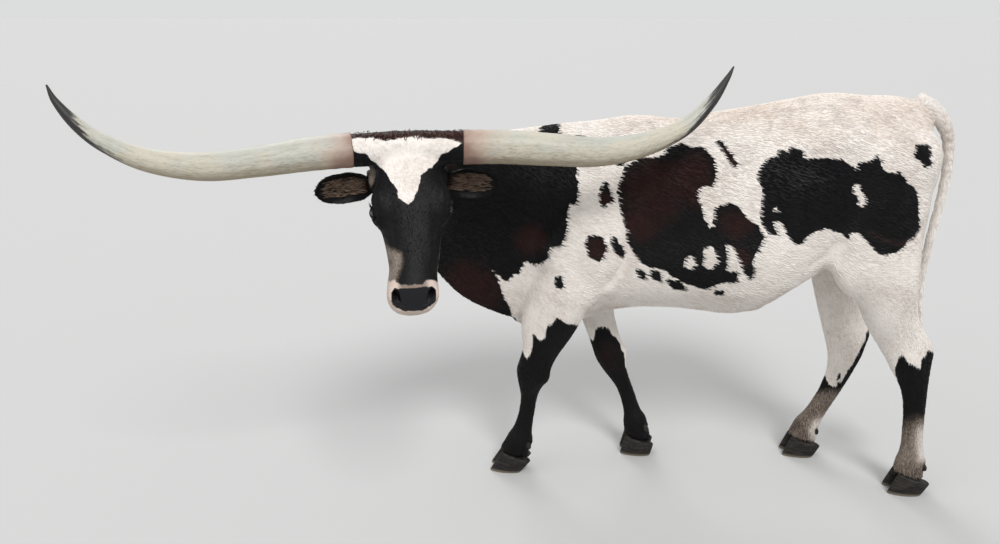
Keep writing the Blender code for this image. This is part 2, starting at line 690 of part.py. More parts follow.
def claw(leg, side):
    """Half a hoof: a wall that slopes from the coronet to a flat sole."""
    middle, cleft, lean = HOOVES[leg]
    rise = (CORONET_FRONT - CORONET_BACK) / CORONET_LENGTH
    rings = []
    for height in (0.0, 0.08, 0.5, 1.0):
        points = []
        for k in range(CLAW_POINTS):
            turn = 2 * math.pi * k / CLAW_POINTS
            toe = (1 + math.cos(turn)) / 2
            sole = SOLE_LENGTH / 2 * math.cos(turn)
            top = CORONET_LENGTH / 2 * math.cos(turn) - lean - 0.012
            forward = sole + (top - sole) * height
            if height == 0.0:
                forward *= 0.96
            half = CLAW_WIDTH / 2 * (1 - 0.42 * toe**3) * (0.93 + 0.07 * height)
            power = 0.75
            across = half * math.copysign(abs(math.sin(turn)) ** power, math.sin(turn))
            coronet = CORONET_BACK + rise * (top + lean + 0.012 + CORONET_LENGTH / 2)
            y = cleft + side * (CLEFT / 2 + CLAW_WIDTH / 2) + across
            points.append(Vector((middle - forward, y, height * coronet)))
        rings.append(points)
    return skinned("claw", rings)


def coronet_block(leg):
    """The space of a hoof, under the coronet."""
    middle, cleft, lean = HOOVES[leg]
    rise = (CORONET_FRONT - CORONET_BACK) / CORONET_LENGTH
    slope = Vector((rise, 0, 1)).normalized()
    at = Vector((middle + lean + 0.012, 0, (CORONET_FRONT + CORONET_BACK) / 2))
    return block("space_hoof", (middle - 0.3, -0.5, -0.2), (middle + 0.3, 0.5, 0.4),
                 [(at + slope * GAP, slope)])


def dewclaw(leg, side, grow):
    """One of the two small claws behind the fetlock."""
    rows = spread(LEGS[leg], 40)
    row = min(rows, key=lambda r: abs(r[2] - DEWCLAW_HEIGHT))
    centre = Vector((row[0] + row[4] * 0.78, row[1] + side * 0.018, DEWCLAW_HEIGHT))
    radii = [radius + grow for radius in DEWCLAW_RADII]
    return ball("dewclaw", centre, radii, turn=(0, -28, 0), segments=8, rings=5)


def eye_frame(side):
    """The eye's own directions: along the slit, across it and out of it."""
    out = (left_of_head * side * 0.90 + out_of_face * 0.42 + down_face * 0.08).normalized()
    along = (down_face + out_of_face * 0.35)
    along = (along - out * along.dot(out)).normalized()
    across = out.cross(along)
    centre = HEAD_FRAME @ Vector((side * EYE_PLACE[0], EYE_PLACE[1], EYE_PLACE[2]))
    return Matrix.Translation(centre) @ Matrix((along, across, out)).transposed().to_4x4()


def tail_block(grow):
    """The space behind the root of the tail."""
    out = Vector((0.87, 0, -0.50)).normalized()
    low = (0.50, -0.06 - grow, TAIL_NOTCH - grow)
    at = Vector(TAIL_ROOT) - out * grow
    return block("space_tail", low, (0.90, 0.06 + grow, 1.5), [(at, -out)])


def tail_root_block():
    """The space in front of the plane where the tail leaves the rump."""
    out = Vector((0.87, 0, -0.50)).normalized()
    return block("space_root", (0.2, -0.3, 1.0), (1.2, 0.3, 1.6), [(Vector(TAIL_ROOT), out)])


def switch_block(grow):
    """The space under the end of the tail's skin."""
    down = Vector((0.10, 0.06, -1)).normalized()
    at = Vector(TAIL_END) - down * grow
    return block("space_switch", (0.4, -0.3, 0.1), (1.0, 0.3, 0.8), [(at, -down)])


def switch_lock(name, root, tip, bow, width, thickness):
    """One flat, tapered lock that bows outward on its way down."""
    steps = 4
    along = (tip - root).normalized()
    flat = bow.normalized()
    side = along.cross(flat).normalized()
    rings = []
    for k in range(steps + 1):
        t = k / steps
        centre = root.lerp(tip, t) + bow * math.sin(math.pi * min(1, t * 1.1))
        share = 0.55 + 0.45 * math.sin(math.pi * min(1, t * 1.6 + 0.1))
        if t > 0.55:
            share = 1 - ((t - 0.55) / 0.45) ** 1.6 * 0.93
        w, d = width * share, thickness * share
        rings.append([centre + side * w, centre + flat * d, centre - side * w, centre - flat * d])
    return skinned(name, rings)


def switch():
    """The tail's switch: flat locks that hang from the end of the tail and overlap."""
    random = np.random.default_rng(SWITCH_SEED)
    top = Vector(TAIL_END)
    drop = top.z - SWITCH_BOTTOM
    core = limb("core", [
        (top.x - 0.001, top.y - 0.001, top.z + 0.03, 0.0115, 0.0115, 0.0115),
        (top.x + 0.002, top.y + 0.001, top.z - 0.04, 0.013, 0.013, 0.013),
        (top.x + 0.004, top.y + 0.002, top.z - drop * 0.35, 0.014, 0.014, 0.014),
        (top.x + 0.006, top.y + 0.004, top.z - drop * 0.60, 0.005, 0.005, 0.005),
    ], Vector((0, 1, 0)), 6, 8)
    pieces = [core]
    for k in range(SWITCH_LOCKS):
        share = k / (SWITCH_LOCKS - 1)
        turn = k * 2.39996
        outward = Vector((math.cos(turn), math.sin(turn) * 0.8, 0))
        start = share * 0.45 * drop
        root = Vector((top.x + 0.003, top.y + 0.002, top.z - 0.012 - start)) + outward * 0.004
        length = drop * (0.62 + 0.20 * random.random())
        low = max(root.z - length, SWITCH_BOTTOM + 0.05 * random.random())
        spread_out = 0.014 + 0.012 * random.random()
        tip = Vector((top.x + 0.006, top.y + 0.004, low)) + outward * spread_out * (0.6 + share)
        bow = outward * (0.012 + 0.008 * random.random())
        pieces.append(switch_lock("lock", root, tip, bow, 0.0125, 0.0050))
    item = fused("tail_switch", pieces, "EXACT")
    return combined(item, [switch_block(0.0)], "INTERSECT")


def mouth(head_item):
    """A cutter for the line of the mouth: a thin ribbon let into the muzzle all round."""
    rings = []
    for k in range(MOUTH_STEPS + 1):
        share = 2 * k / MOUTH_STEPS - 1
        turn = share * math.radians(112)
        outward = left_of_head * math.sin(turn) + down_face * math.cos(turn)
        centre = HEAD_FRAME @ Vector((0, MOUTH_CENTRE, MOUTH_LINE - MOUTH_DROOP * share * share))
        found, on_skin, normal, face = head_item.ray_cast(centre + outward * 0.15, -outward)
        deep = MOUTH_DEPTH * (1 - 0.6 * share**4)
        open_by = out_of_face * MOUTH_WIDTH / 2
        proud, sunk = on_skin + outward * 0.004, on_skin - outward * deep
        rings.append([proud + open_by, proud - open_by, sunk - open_by * 0.3, sunk + open_by * 0.3])
    return skinned("mouth", rings, cutters)


def faced(head_item, cuts):
    """The head with lids round its eyes, open sockets, nostrils and the line of the mouth."""
    lids = []
    for side in (1, -1):
        frame = eye_frame(side)
        lid = EYE_RADIUS + LID_THICKNESS
        lids.append(ball("lids", (0, 0, 0), (lid, lid, lid), frame, segments=14, rings=10))
        socket = EYE_RADIUS + GAP
        nostril = (side * NOSTRIL[0], NOSTRIL[1], NOSTRIL[2])
        cuts += [
            ball("socket", (0, 0, 0), (socket, socket, socket), frame, group=cutters, segments=14,
                 rings=9),
            ball("slit", (0, 0, EYE_RADIUS + LID_THICKNESS), EYE_SLIT, frame, group=cutters,
                 segments=12, rings=6),
            ball("nostril", nostril, NOSTRIL_RADII, HEAD_FRAME, (0, side * 22, side * -30), cutters,
                 10, 7),
        ]
    head_item = fused("head", [head_item, *lids])
    return combined(head_item, cuts, "DIFFERENCE", "MANIFOLD")


white_coat = finish("white_coat", (0.78, 0.74, 0.70), 0.75)
black_coat = finish("black_coat", (0.02, 0.018, 0.018), 0.6)
ivory_horn = finish("ivory_horn", (0.62, 0.56, 0.44), 0.45)
dark_horn = finish("dark_horn", (0.06, 0.05, 0.045), 0.5)
dark_eye = finish("dark_eye", (0.02, 0.012, 0.008), 0.1)

legs = [limb(name, rows) for name, rows in LEGS.items()]
flesh = fused("flesh", [trunk(), neck(), *legs, *muscles(), *skull()])
flesh = softened(flesh, FUSE_VOXEL, EASE_ROUNDS)

head = combined(copied(flesh, "head"), [head_block(0.0)], "INTERSECT", "MANIFOLD")
mouth_line = mouth(head)
head = largest(thinned(head, HEAD_TRIANGLES))
flesh = largest(thinned(flesh, BODY_TRIANGLES))

for leg, (middle, cleft, lean) in HOOVES.items():
    part = combined(copied(flesh, "leg_" + leg), [leg_block(leg, 0.0)], "INTERSECT", "MANIFOLD")
    part = combined(part, [coronet_block(leg)], "DIFFERENCE", "MANIFOLD")
    pairs = (("left", -1), ("right", 1))
    spurs = [dewclaw(leg, side, GAP) for name, side in pairs]
    part = combined(part, spurs, "DIFFERENCE", "MANIFOLD")
    dressed(part, white_coat)
    for name, side in pairs:
        toe = combined(claw(leg, side), [coronet_block(leg)], "INTERSECT")
        toe.name = "claw_" + leg + "_" + name
        dressed(toe, dark_horn)
        spur = dewclaw(leg, side, 0.0)
        spur.name = "dewclaw_" + leg + "_" + name
        dressed(spur, dark_horn)

body = combined(flesh, [leg_block(leg, GAP) for leg in LEGS], "DIFFERENCE")
neck_part = combined(copied(body, "neck"), [neck_block(0.0)], "INTERSECT")
neck_part = combined(neck_part, [head_block(GAP)], "DIFFERENCE")
dressed(neck_part, black_coat)
torso = combined(body, [neck_block(GAP)], "DIFFERENCE")
torso = combined(torso, [tail_block(GAP)], "DIFFERENCE")
torso.name = "torso"
dressed(torso, white_coat)

tail = limb("tail", [(x, y, z, r, r, r) for x, y, z, r in TAIL], Vector((0, 1, 0)), 22, 10)
tail = combined(tail, [tail_root_block()], "DIFFERENCE")
tail = combined(tail, [switch_block(GAP)], "DIFFERENCE")
dressed(tail, white_coat)
dressed(switch(), white_coat)

head = faced(head, [mouth_line])
for name, side in (("left", 1), ("right", -1)):
    eye = ball("eye_" + name, (0, 0, 0), (EYE_RADIUS, EYE_RADIUS, EYE_RADIUS), eye_frame(side),
               segments=14, rings=9)
    dressed(eye, dark_eye)
    head = combined(head, [horn_block(side, GAP), ear_block(side, GAP)], "DIFFERENCE", "MANIFOLD")
    dressed(ear(side, "ear_" + name), black_coat)
    dressed(horn(side, name), ivory_horn)
head.name = "head"
dressed(head, black_coat)

shift = Matrix.Translation((-BOX_MIDDLE[0], -BOX_MIDDLE[1], 0))
for item in hide.objects:
    item.data.transform(shift)
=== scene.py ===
"""A Texas longhorn steer: the hide, coat, horns, hooves and eyes of a life-size still model."""
import math

import bmesh
import bpy
import numpy as np
from mathutils import Matrix, Vector
from mathutils.bvhtree import BVHTree


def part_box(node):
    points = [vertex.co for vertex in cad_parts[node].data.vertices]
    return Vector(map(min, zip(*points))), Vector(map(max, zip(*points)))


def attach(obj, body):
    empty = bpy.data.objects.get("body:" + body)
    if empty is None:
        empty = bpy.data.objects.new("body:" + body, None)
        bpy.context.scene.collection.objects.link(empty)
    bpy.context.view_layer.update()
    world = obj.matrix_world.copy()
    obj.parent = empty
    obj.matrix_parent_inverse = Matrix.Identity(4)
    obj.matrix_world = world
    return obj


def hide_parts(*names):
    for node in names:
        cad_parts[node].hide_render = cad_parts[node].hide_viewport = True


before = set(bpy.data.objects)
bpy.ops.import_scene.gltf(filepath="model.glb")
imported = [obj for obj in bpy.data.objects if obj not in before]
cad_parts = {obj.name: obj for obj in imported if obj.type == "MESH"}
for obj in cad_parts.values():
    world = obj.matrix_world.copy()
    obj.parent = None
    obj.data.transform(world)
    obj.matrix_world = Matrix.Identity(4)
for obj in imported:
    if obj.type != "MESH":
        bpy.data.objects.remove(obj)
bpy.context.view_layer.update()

# The camera stands where the photograph was taken from: at a standing person's eye height,
# abreast of the shoulder and looking a little down. The picture is the lower part of a wider
# view, so the lens is shifted. The same sight lines carry the coat's markings to the hide.
FOCAL_PIXELS = 800.0
PICTURE_WIDTH, PICTURE_HEIGHT = 1000, 544
AIM_PIXEL = (500.0, 150.0)
EYE_POINT = np.array((0.0729, -2.4868, 1.650))
HEADING = math.atan2(0.094, 0.9956)
PITCH = math.atan2(145.0, FOCAL_PIXELS)
SENSOR = 36.0

sight = np.array((-math.sin(HEADING) * math.cos(PITCH), math.cos(HEADING) * math.cos(PITCH),
                  -math.sin(PITCH)))
sight_right = np.array((math.cos(HEADING), math.sin(HEADING), 0.0))
sight_up = np.cross(sight_right, sight)


def pixels_of(points):
    """Where points of the animal lie in the picture, and their distance along the line of sight."""
    away = points - EYE_POINT
    far = away @ sight
    across = AIM_PIXEL[0] + FOCAL_PIXELS * (away @ sight_right) / far
    down = AIM_PIXEL[1] - FOCAL_PIXELS * (away @ sight_up) / far
    return np.stack((across, down), axis=1), far


def placed(name, data):
    """A new object in the scene, at the origin and unturned."""
    item = bpy.data.objects.new(name, data)
    bpy.context.scene.collection.objects.link(item)
    return item


camera = placed("camera", bpy.data.cameras.new("camera"))
camera.location = EYE_POINT
camera.rotation_mode = "QUATERNION"
camera.rotation_quaternion = Vector(sight).to_track_quat("-Z", "Y")
camera.data.sensor_width = SENSOR
camera.data.lens = SENSOR * FOCAL_PIXELS / PICTURE_WIDTH
camera.data.shift_y = (AIM_PIXEL[1] - PICTURE_HEIGHT / 2) / PICTURE_WIDTH
camera.data.clip_end = 100.0
bpy.context.scene.camera = camera

# The hide of trunk, neck, head and legs is one skin with no seam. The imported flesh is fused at
# a fine grain and eased, and the skin is laid on it: wide cells over the body, fine ones on the
# face and the finest round the eyes.
FLESH_GRAIN = 0.004
HIDE_GRAIN = 0.0110
WELD = 0.00002                       # packed points nearer than this are one
OVERLAP = 0.0006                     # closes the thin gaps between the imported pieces
COAT_DEPTH = 0.0035                  # the skin lies this far inside the outline
SHIFT = Vector((0.5929, 0.2482, 0.0))
POLL = Vector((-0.997, -0.500, 1.277)) + SHIFT
FACING = Vector((0.2655, -0.9641, 0.0))
FACE_TILT = math.radians(36.0)
EYE_RADIUS = 0.0210
SOCKET_GAP = 0.0015
EASING, DEEP_EASING = 10, 36         # rounds over the whole flesh, and more where it is deep

head_left = FACING.cross(Vector((0, 0, -1))).normalized()
head_down = FACING * math.sin(FACE_TILT) - Vector((0, 0, 1)) * math.cos(FACE_TILT)
head_out = FACING * math.cos(FACE_TILT) + Vector((0, 0, 1)) * math.sin(FACE_TILT)
head_axes = np.array((head_left, head_down, head_out))


def in_head(points):
    """Points in the head's own directions: left, down the face, out of the forehead."""
    return (points - np.array(POLL)) @ head_axes.T


def from_head(places):
    """The reverse of in_head."""
    return places @ head_axes + np.array(POLL)


def points_of(mesh):
    """A mesh's vertices as an array."""
    flat = np.empty(len(mesh.vertices) * 3)
    mesh.vertices.foreach_get("co", flat)
    return flat.reshape(-1, 3)


def moved_to(mesh, points):
    """Puts the mesh's vertices at the given points."""
    mesh.vertices.foreach_set("co", np.asarray(points, float).ravel())
    mesh.update()


def normals_of(mesh):
    """A mesh's vertex normals as an array."""
    flat = np.empty(len(mesh.vertices) * 3)
    mesh.vertex_normals.foreach_get("vector", flat)
    return flat.reshape(-1, 3)


def eased(mesh, points, rounds, share):
    """Points of the mesh drawn towards their neighbours' middle; share sets how much at each."""
    edges = np.empty(len(mesh.edges) * 2, int)
    mesh.edges.foreach_get("vertices", edges)
    one, two = edges[0::2], edges[1::2]
    count = np.bincount(edges, minlength=len(points))[:, None]
    share = np.broadcast_to(np.asarray(share, float), len(points))[:, None]
    for _ in range(rounds):
        total = np.stack([np.bincount(one, points[two, k], len(points))
                          + np.bincount(two, points[one, k], len(points)) for k in range(3)], axis=1)
        points = points + (total / count - points) * share
    return points


def remeshed(mesh, grain):
    """The closed shape of the mesh in even cells."""
    item = placed("grain", mesh)
    step = item.modifiers.new("Grain", "REMESH")
    step.mode = "VOXEL"
    step.voxel_size = grain
    step.adaptivity = 0.0
    done = bpy.data.meshes.new_from_object(item.evaluated_get(bpy.context.evaluated_depsgraph_get()))
    bpy.data.objects.remove(item)
    return done


def rise(values, low, high):
    """0 below low, 1 above high and smooth between."""
    share = np.clip((values - low) / (high - low), 0.0, 1.0)
    return share * share * (3.0 - 2.0 * share)


legs = ("front_left", "front_right", "hind_left", "hind_right")
flesh_nodes = ["torso", "neck", "head", *["leg_" + leg for leg in legs]]
bm = bmesh.new()
for node in flesh_nodes:
    bm.from_mesh(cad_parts[node].data)
bmesh.ops.remove_doubles(bm, verts=bm.verts, dist=WELD)
bm.normal_update()
for vertex in bm.verts:
    vertex.co += vertex.normal * OVERLAP
eyes = {side: sum(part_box("eye_" + side), Vector()) / 2 for side in ("left", "right")}
for centre in eyes.values():
    bmesh.ops.create_icosphere(bm, subdivisions=3, radius=EYE_RADIUS + SOCKET_GAP,
                               matrix=Matrix.Translation(centre))
joined = bpy.data.meshes.new("flesh")
bm.to_mesh(joined)
bm.free()
flesh = remeshed(joined, FLESH_GRAIN)
points = points_of(flesh)
on_face = rise((points - np.array(POLL)) @ np.array(FACING), -0.15, -0.05)
on_face *= rise(-points[:, 0], 0.10, 0.16)
on_foot = 1.0 - rise(points[:, 2], 0.20, 0.60)
deep = np.clip(1.0 - on_face - on_foot, 0.0, 1.0)
points = eased(flesh, points, EASING, 0.5)
points = eased(flesh, points, DEEP_EASING, 0.5 * deep)
moved_to(flesh, points)
flesh_tree = BVHTree.FromPolygons(points.tolist(), [list(face.vertices) for face in flesh.polygons])

hide = remeshed(flesh, HIDE_GRAIN)
bm = bmesh.new()
bm.from_mesh(hide)


def finer(bm, wanted, cuts):
    """Cuts the faces whose middle is wanted into smaller ones."""
    chosen = {edge for face in bm.faces if wanted(face.calc_center_median()) for edge in face.edges}
    bmesh.ops.subdivide_edges(bm, edges=list(chosen), cuts=cuts, use_grid_fill=True)


def near_face(point):
    """True on the head, in front of the nape."""
    return (point - POLL).dot(FACING) > -0.10 and point.z > 0.75 and point.x < -0.12


finer(bm, near_face, 2)
finer(bm, lambda point: min((point - centre).length for centre in eyes.values()) < 0.040, 1)
bmesh.ops.triangulate(bm, faces=[face for face in bm.faces if len(face.verts) > 4])
for vertex in bm.verts:
    vertex.co = flesh_tree.find_nearest(vertex.co)[0]
hide = bpy.data.meshes.new("hide")
bm.to_mesh(hide)
bm.free()
hide.shade_smooth()
points = points_of(hide)
normals = normals_of(hide)

cad_points = []
cad_faces = []
cad_owner = []
for number, node in enumerate(flesh_nodes):
    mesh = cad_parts[node].data
    start = len(cad_points)
    cad_points += [vertex.co[:] for vertex in mesh.vertices]
    cad_faces += [[start + k for k in face.vertices] for face in mesh.polygons]
    cad_owner += [number] * len(mesh.polygons)
cad_tree = BVHTree.FromPolygons(cad_points, cad_faces)
part = np.array([cad_owner[cad_tree.find_nearest(point)[2]] for point in points.tolist()])
part_points = points.copy()

# Bone, muscle and folds show through the hide. Each is a soft rise or hollow pressed into the
# skin, the same on both flanks, from places measured from the ground between the feet.
HOLLOWS = (                          # x, out to the side, z, reach in x, y and z, height
    (0.205, 0.235, 1.165, 0.080, 0.10, 0.062, -0.016),
    (0.325, 0.195, 1.235, 0.050, 0.06, 0.040, 0.008),
    (-0.290, 0.210, 1.020, 0.035, 0.10, 0.170, -0.008),
    (-0.595, 0.150, 0.850, 0.050, 0.06, 0.060, 0.008),
    (-0.440, 0.190, 0.840, 0.070, 0.08, 0.100, 0.007),
    (0.430, 0.200, 1.010, 0.070, 0.08, 0.110, 0.008),
    (0.400, 0.190, 0.800, 0.040, 0.06, 0.050, 0.007),
    (0.585, 0.095, 1.180, 0.030, 0.05, 0.035, 0.006),
    (0.530, 0.060, 1.260, 0.050, 0.04, 0.040, -0.008),
)
FOLDS = (                            # points along it, width, height
    (((-0.36, 0.09, 1.22), (-0.47, 0.14, 1.07), (-0.57, 0.16, 0.92)), 0.020, 0.005),
    (((-0.325, 0.20, 0.95), (-0.36, 0.20, 0.82), (-0.43, 0.19, 0.70)), 0.020, -0.009),
    (((0.16, 0.20, 0.715), (0.27, 0.20, 0.765), (0.35, 0.20, 0.860)), 0.022, 0.014),
    (((0.22, 0.22, 0.80), (0.30, 0.21, 0.86), (0.34, 0.21, 0.94)), 0.022, -0.009),
    (((0.50, 0.19, 1.08), (0.53, 0.17, 0.88), (0.50, 0.16, 0.72)), 0.018, -0.007),
    (((-0.52, 0.14, 0.66), (-0.50, 0.18, 0.72), (-0.44, 0.19, 0.76)), 0.014, -0.005),
    (((-0.10, 0.00, 0.600), (0.05, 0.00, 0.600), (0.16, 0.00, 0.640)), 0.022, 0.008),
)
RIBS = 6
FIRST_RIB = -0.20
RIB_SPACING = 0.072
RIB_LINE = ((0.05, 0.20, 1.16), (0.02, 0.26, 1.0), (-0.05, 0.26, 0.80))
RIB_WIDTH = 0.020
RIB_HEIGHT = 0.0030
RELIEF = 1.35                        # how much more strongly the forms show than they were measured
REAR_FORMS = (                       # pin bones, tail head and navel, not made stronger
    (0.615, 0.085, 1.130, 0.075, 0.080, 0.120, 0.034),
    (0.600, 0.000, 1.270, 0.060, 0.050, 0.050, 0.014),
    (0.130, 0.000, 0.640, 0.040, 0.040, 0.040, 0.014),
)
KNEES_AND_FETLOCKS = {               # the knee or hock and the fetlock of each leg
    "front_left": ((-0.652, -0.105, 0.378), (-0.697, -0.090, 0.120)),
    "front_right": ((-0.374, 0.086, 0.378), (-0.281, 0.066, 0.128)),
    "hind_left": ((0.610, -0.116, 0.478), (0.648, -0.100, 0.118)),
    "hind_right": ((0.476, 0.125, 0.455), (0.357, 0.110, 0.112)),
}
KNEE_FORMS = (                       # share of the way down, ahead, aside, reach down and across, height
    (0.00, 0.046, 0.000, 0.042, 0.034, 0.0050),
    (0.00, 0.000, 0.040, 0.045, 0.034, 0.0045),
    (0.03, -0.046, 0.000, 0.026, 0.032, 0.0100),
    (0.30, -0.040, 0.000, 0.055, 0.034, -0.0060),
    (0.34, 0.036, 0.000, 0.060, 0.034, -0.0035),
    (-0.36, 0.000, 0.040, 0.060, 0.030, -0.0040),
)
HOCK_FORMS = (
    (-0.20, 0.020, 0.040, 0.055, 0.026, -0.0050),
    (0.00, 0.010, 0.042, 0.045, 0.032, 0.0045),
    (0.04, 0.046, 0.000, 0.050, 0.034, 0.0030),
    (0.35, 0.036, 0.000, 0.070, 0.034, -0.0030),
)
FETLOCK_FORMS = (
    (0.62, 0.000, 0.000, 0.070, 0.070, -0.0020),
    (1.00, 0.000, 0.034, 0.030, 0.034, 0.0050),
    (1.00, 0.030, 0.000, 0.030, 0.034, 0.0040),
    (1.03, -0.036, 0.000, 0.026, 0.034, 0.0085),
)
TENDON = ((0.18, -0.012), (0.50, -0.010), (0.86, -0.014))   # share of the way down, and ahead
TENDON_ASIDE = 0.026
TENDON_WIDTH = 0.0095
TENDON_DEPTH = -0.0042


def pressed(points, normals, local, centre, reach, height):
    """Points pushed out by height where their local places are near a centre, or in if it is negative."""
    away = (local - np.array(centre)) / np.array(reach)
    return points + normals * (height * np.exp(-(away ** 2).sum(1)))[:, None]


def gap_to_line(points, line):
    """Distance of points to a line through the given places, and how far along it they are."""
    nearest = np.full(len(points), 1e9)
    along = np.zeros(len(points))
    for k, (one, two) in enumerate(zip(line, line[1:])):
        one, two = np.array(one), np.array(two)
        run = two - one
        share = np.clip((points - one) @ run / (run @ run), 0.0, 1.0)
        gap = np.linalg.norm(points - one - share[:, None] * run, axis=1)
        along = np.where(gap < nearest, (k + share) / (len(line) - 1), along)
        nearest = np.minimum(nearest, gap)
    return nearest, along


def folded(points, normals, line, width, height):
    """A rounded fold or groove along a line, fading out at its ends."""
    gap, along = gap_to_line(points, line)
    fade = rise(along, 0.0, 0.25) * (1.0 - rise(along, 0.75, 1.0))
    return points + normals * (height * fade * np.exp(-(gap / width) ** 2))[:, None]


place = in_head(points)
eye_gap = np.minimum(*[np.linalg.norm(points - np.array(centre), axis=1) for centre in eyes.values()])
bare = np.maximum((part == 2) * rise(place[:, 1], 0.40, 0.46), 1.0 - rise(eye_gap, 0.035, 0.060))
points = points - normals * (COAT_DEPTH * (1.0 - bare))[:, None]

for flank in (-1.0, 1.0):
    turned = np.array((1.0, flank, 1.0))
    for x, y, z, reach_x, reach_y, reach_z, height in HOLLOWS:
        centre = np.array((x, y, z)) * turned + np.array(SHIFT)
        points = pressed(points, normals, points, centre, (reach_x, reach_y, reach_z), height * RELIEF)
    for line, width, height in FOLDS:
        line = [np.array(spot) * turned + np.array(SHIFT) for spot in line]
        points = folded(points, normals, line, width, height * RELIEF)
    for rib in range(RIBS):
        x = FIRST_RIB + RIB_SPACING * rib
        line = [np.array(spot) * turned + np.array(SHIFT)
                for spot in ((x + dx, y, z) for dx, y, z in RIB_LINE)]
        points = folded(points, normals, line, RIB_WIDTH, RIB_HEIGHT)

for x, y, z, reach_x, reach_y, reach_z, height in REAR_FORMS:
    for flank in ((-1.0, 1.0) if y else (1.0,)):
        centre = np.array((x, y * flank, z)) + np.array(SHIFT)
        points = pressed(points, normals, points, centre, (reach_x, reach_y, reach_z), height)

for leg, (knee, fetlock) in KNEES_AND_FETLOCKS.items():
    knee, fetlock = Vector(knee) + SHIFT, Vector(fetlock) + SHIFT
    down = (fetlock - knee).normalized()
    ahead = (Vector((-1.0, 0.0, 0.0)) - down * -down.x).normalized()
    leg_axes = np.array((down, ahead, down.cross(ahead)))
    span = (fetlock - knee).length
    ours = part == 3 + legs.index(leg)
    forms = (KNEE_FORMS if leg.startswith("front") else HOCK_FORMS) + FETLOCK_FORMS
    for share, forward, aside, reach_down, reach_across, height in forms:
        for flank in ((-1.0, 1.0) if aside else (1.0,)):
            local = (points - np.array(knee)) @ leg_axes.T
            points = pressed(points, normals, local, (share * span, forward, aside * flank),
                             (reach_down, reach_across, reach_across), height * ours)
    for flank in (-1.0, 1.0):
        line = [np.array(knee) + np.array((share * span, forward, TENDON_ASIDE * flank)) @ leg_axes
                for share, forward in TENDON]
        pushed = folded(points, normals, line, TENDON_WIDTH, TENDON_DEPTH)
        points = np.where(ours[:, None], pushed, points)

# The face: sunk eyes in almond lids, a brow, comma-shaped nostrils in a broad wet pad, and the
# line of the mouth between full lips.
SLIT_HALF = 0.0185
SLIT_HEIGHT = 0.0098
LID_DEPTH = 0.0036
SLIT_SUNK = 0.0040                   # between the lids the hide keeps this far inside the ball
LID_REACH = 0.016
PAD_TOP = (0.440, -0.003)            # down the face and out of it, where the wet pad begins
PAD_TILT = math.radians(44.0)        # the pad leans back this far from the face's own plane
PAD_ROUND = 0.30
MUZZLE_SPREAD = 0.06                 # the muzzle flares by this share over its packed width
MUZZLE_ASIDE = -0.008                # and is held a little to the animal's right
NOSTRIL = (0.0455, 0.028)            # out to the side and down the pad
NOSTRIL_SIZE = (0.0105, 0.0185)
NOSTRIL_LEAN = math.radians(24.0)
NOSTRIL_DEPTH = 0.024
NOSTRIL_RIM = 0.0030
MOUTH_LINE = -0.089
MOUTH_DROOP = 0.014
MOUTH_CENTRE = 0.395
MOUTH_TURN = math.radians(112.0)
FACE_FORMS = (                       # brow, tear line, cheek and muzzle: place, reach and height
    ((0.088, 0.180, -0.005), (0.020, 0.034, 0.020), 0.006),
    ((0.098, 0.262, -0.050), (0.014, 0.030, 0.012), -0.005),
    ((0.060, 0.300, -0.090), (0.030, 0.060, 0.018), -0.004),
    ((0.045, 0.330, -0.020), (0.012, 0.080, 0.020), 0.003),
    ((0.068, 0.365, -0.060), (0.030, 0.085, 0.055), 0.009),
    ((0.000, 0.120, 0.020), (0.030, 0.060, 0.030), -0.003),
)

SIDES = (("left", 1), ("right", -1))
eye_frames = {}
for name, side in SIDES:
    out = (head_left * side * 0.90 + head_out * 0.42 + head_down * 0.08).normalized()
    along = head_down + head_out * 0.35
    along = (along - out * along.dot(out)).normalized()
    eye_frames[name] = np.array((along, out.cross(along) * side, out))

for side in (1, -1):
    for (s, d, o), reach, height in FACE_FORMS:
        points = pressed(points, normals, in_head(points), (s * side, d, o), reach, height)

for name, axes in eye_frames.items():
    local = (points - np.array(eyes[name])) @ axes.T
    reach = np.linalg.norm(local, axis=1)
    outward = local[:, 2] > 0
    a, b = local[:, 0], local[:, 1]
    slit = np.abs(b) - SLIT_HEIGHT * (1.0 - np.clip(np.abs(a) / SLIT_HALF, 0, 1) ** 1.8)
    slit = np.maximum(slit, np.abs(a) - SLIT_HALF)
    near = outward & (reach < 0.05)
    lid = EYE_RADIUS + LID_DEPTH - 0.0014 * np.exp(-((slit - 0.0070) / 0.0016) ** 2)
    target = np.where(slit < 0, EYE_RADIUS - SLIT_SUNK, lid)
    share = near * np.where(slit < 0, 1.0, 1.0 - rise(slit, 0.006, LID_REACH))
    points = points + (points - np.array(eyes[name])) * (share * (target / reach - 1.0))[:, None]

pad_out = np.array((0.0, math.sin(PAD_TILT), math.cos(PAD_TILT)))
pad_down = np.array((0.0, math.cos(PAD_TILT), -math.sin(PAD_TILT)))


def on_pad(place):
    """Places in the head given along the wet pad instead: side, down the pad and out of it."""
    away = place - np.array((0.0, *PAD_TOP))
    return np.stack((place[:, 0], away @ pad_down, away @ pad_out), axis=1)


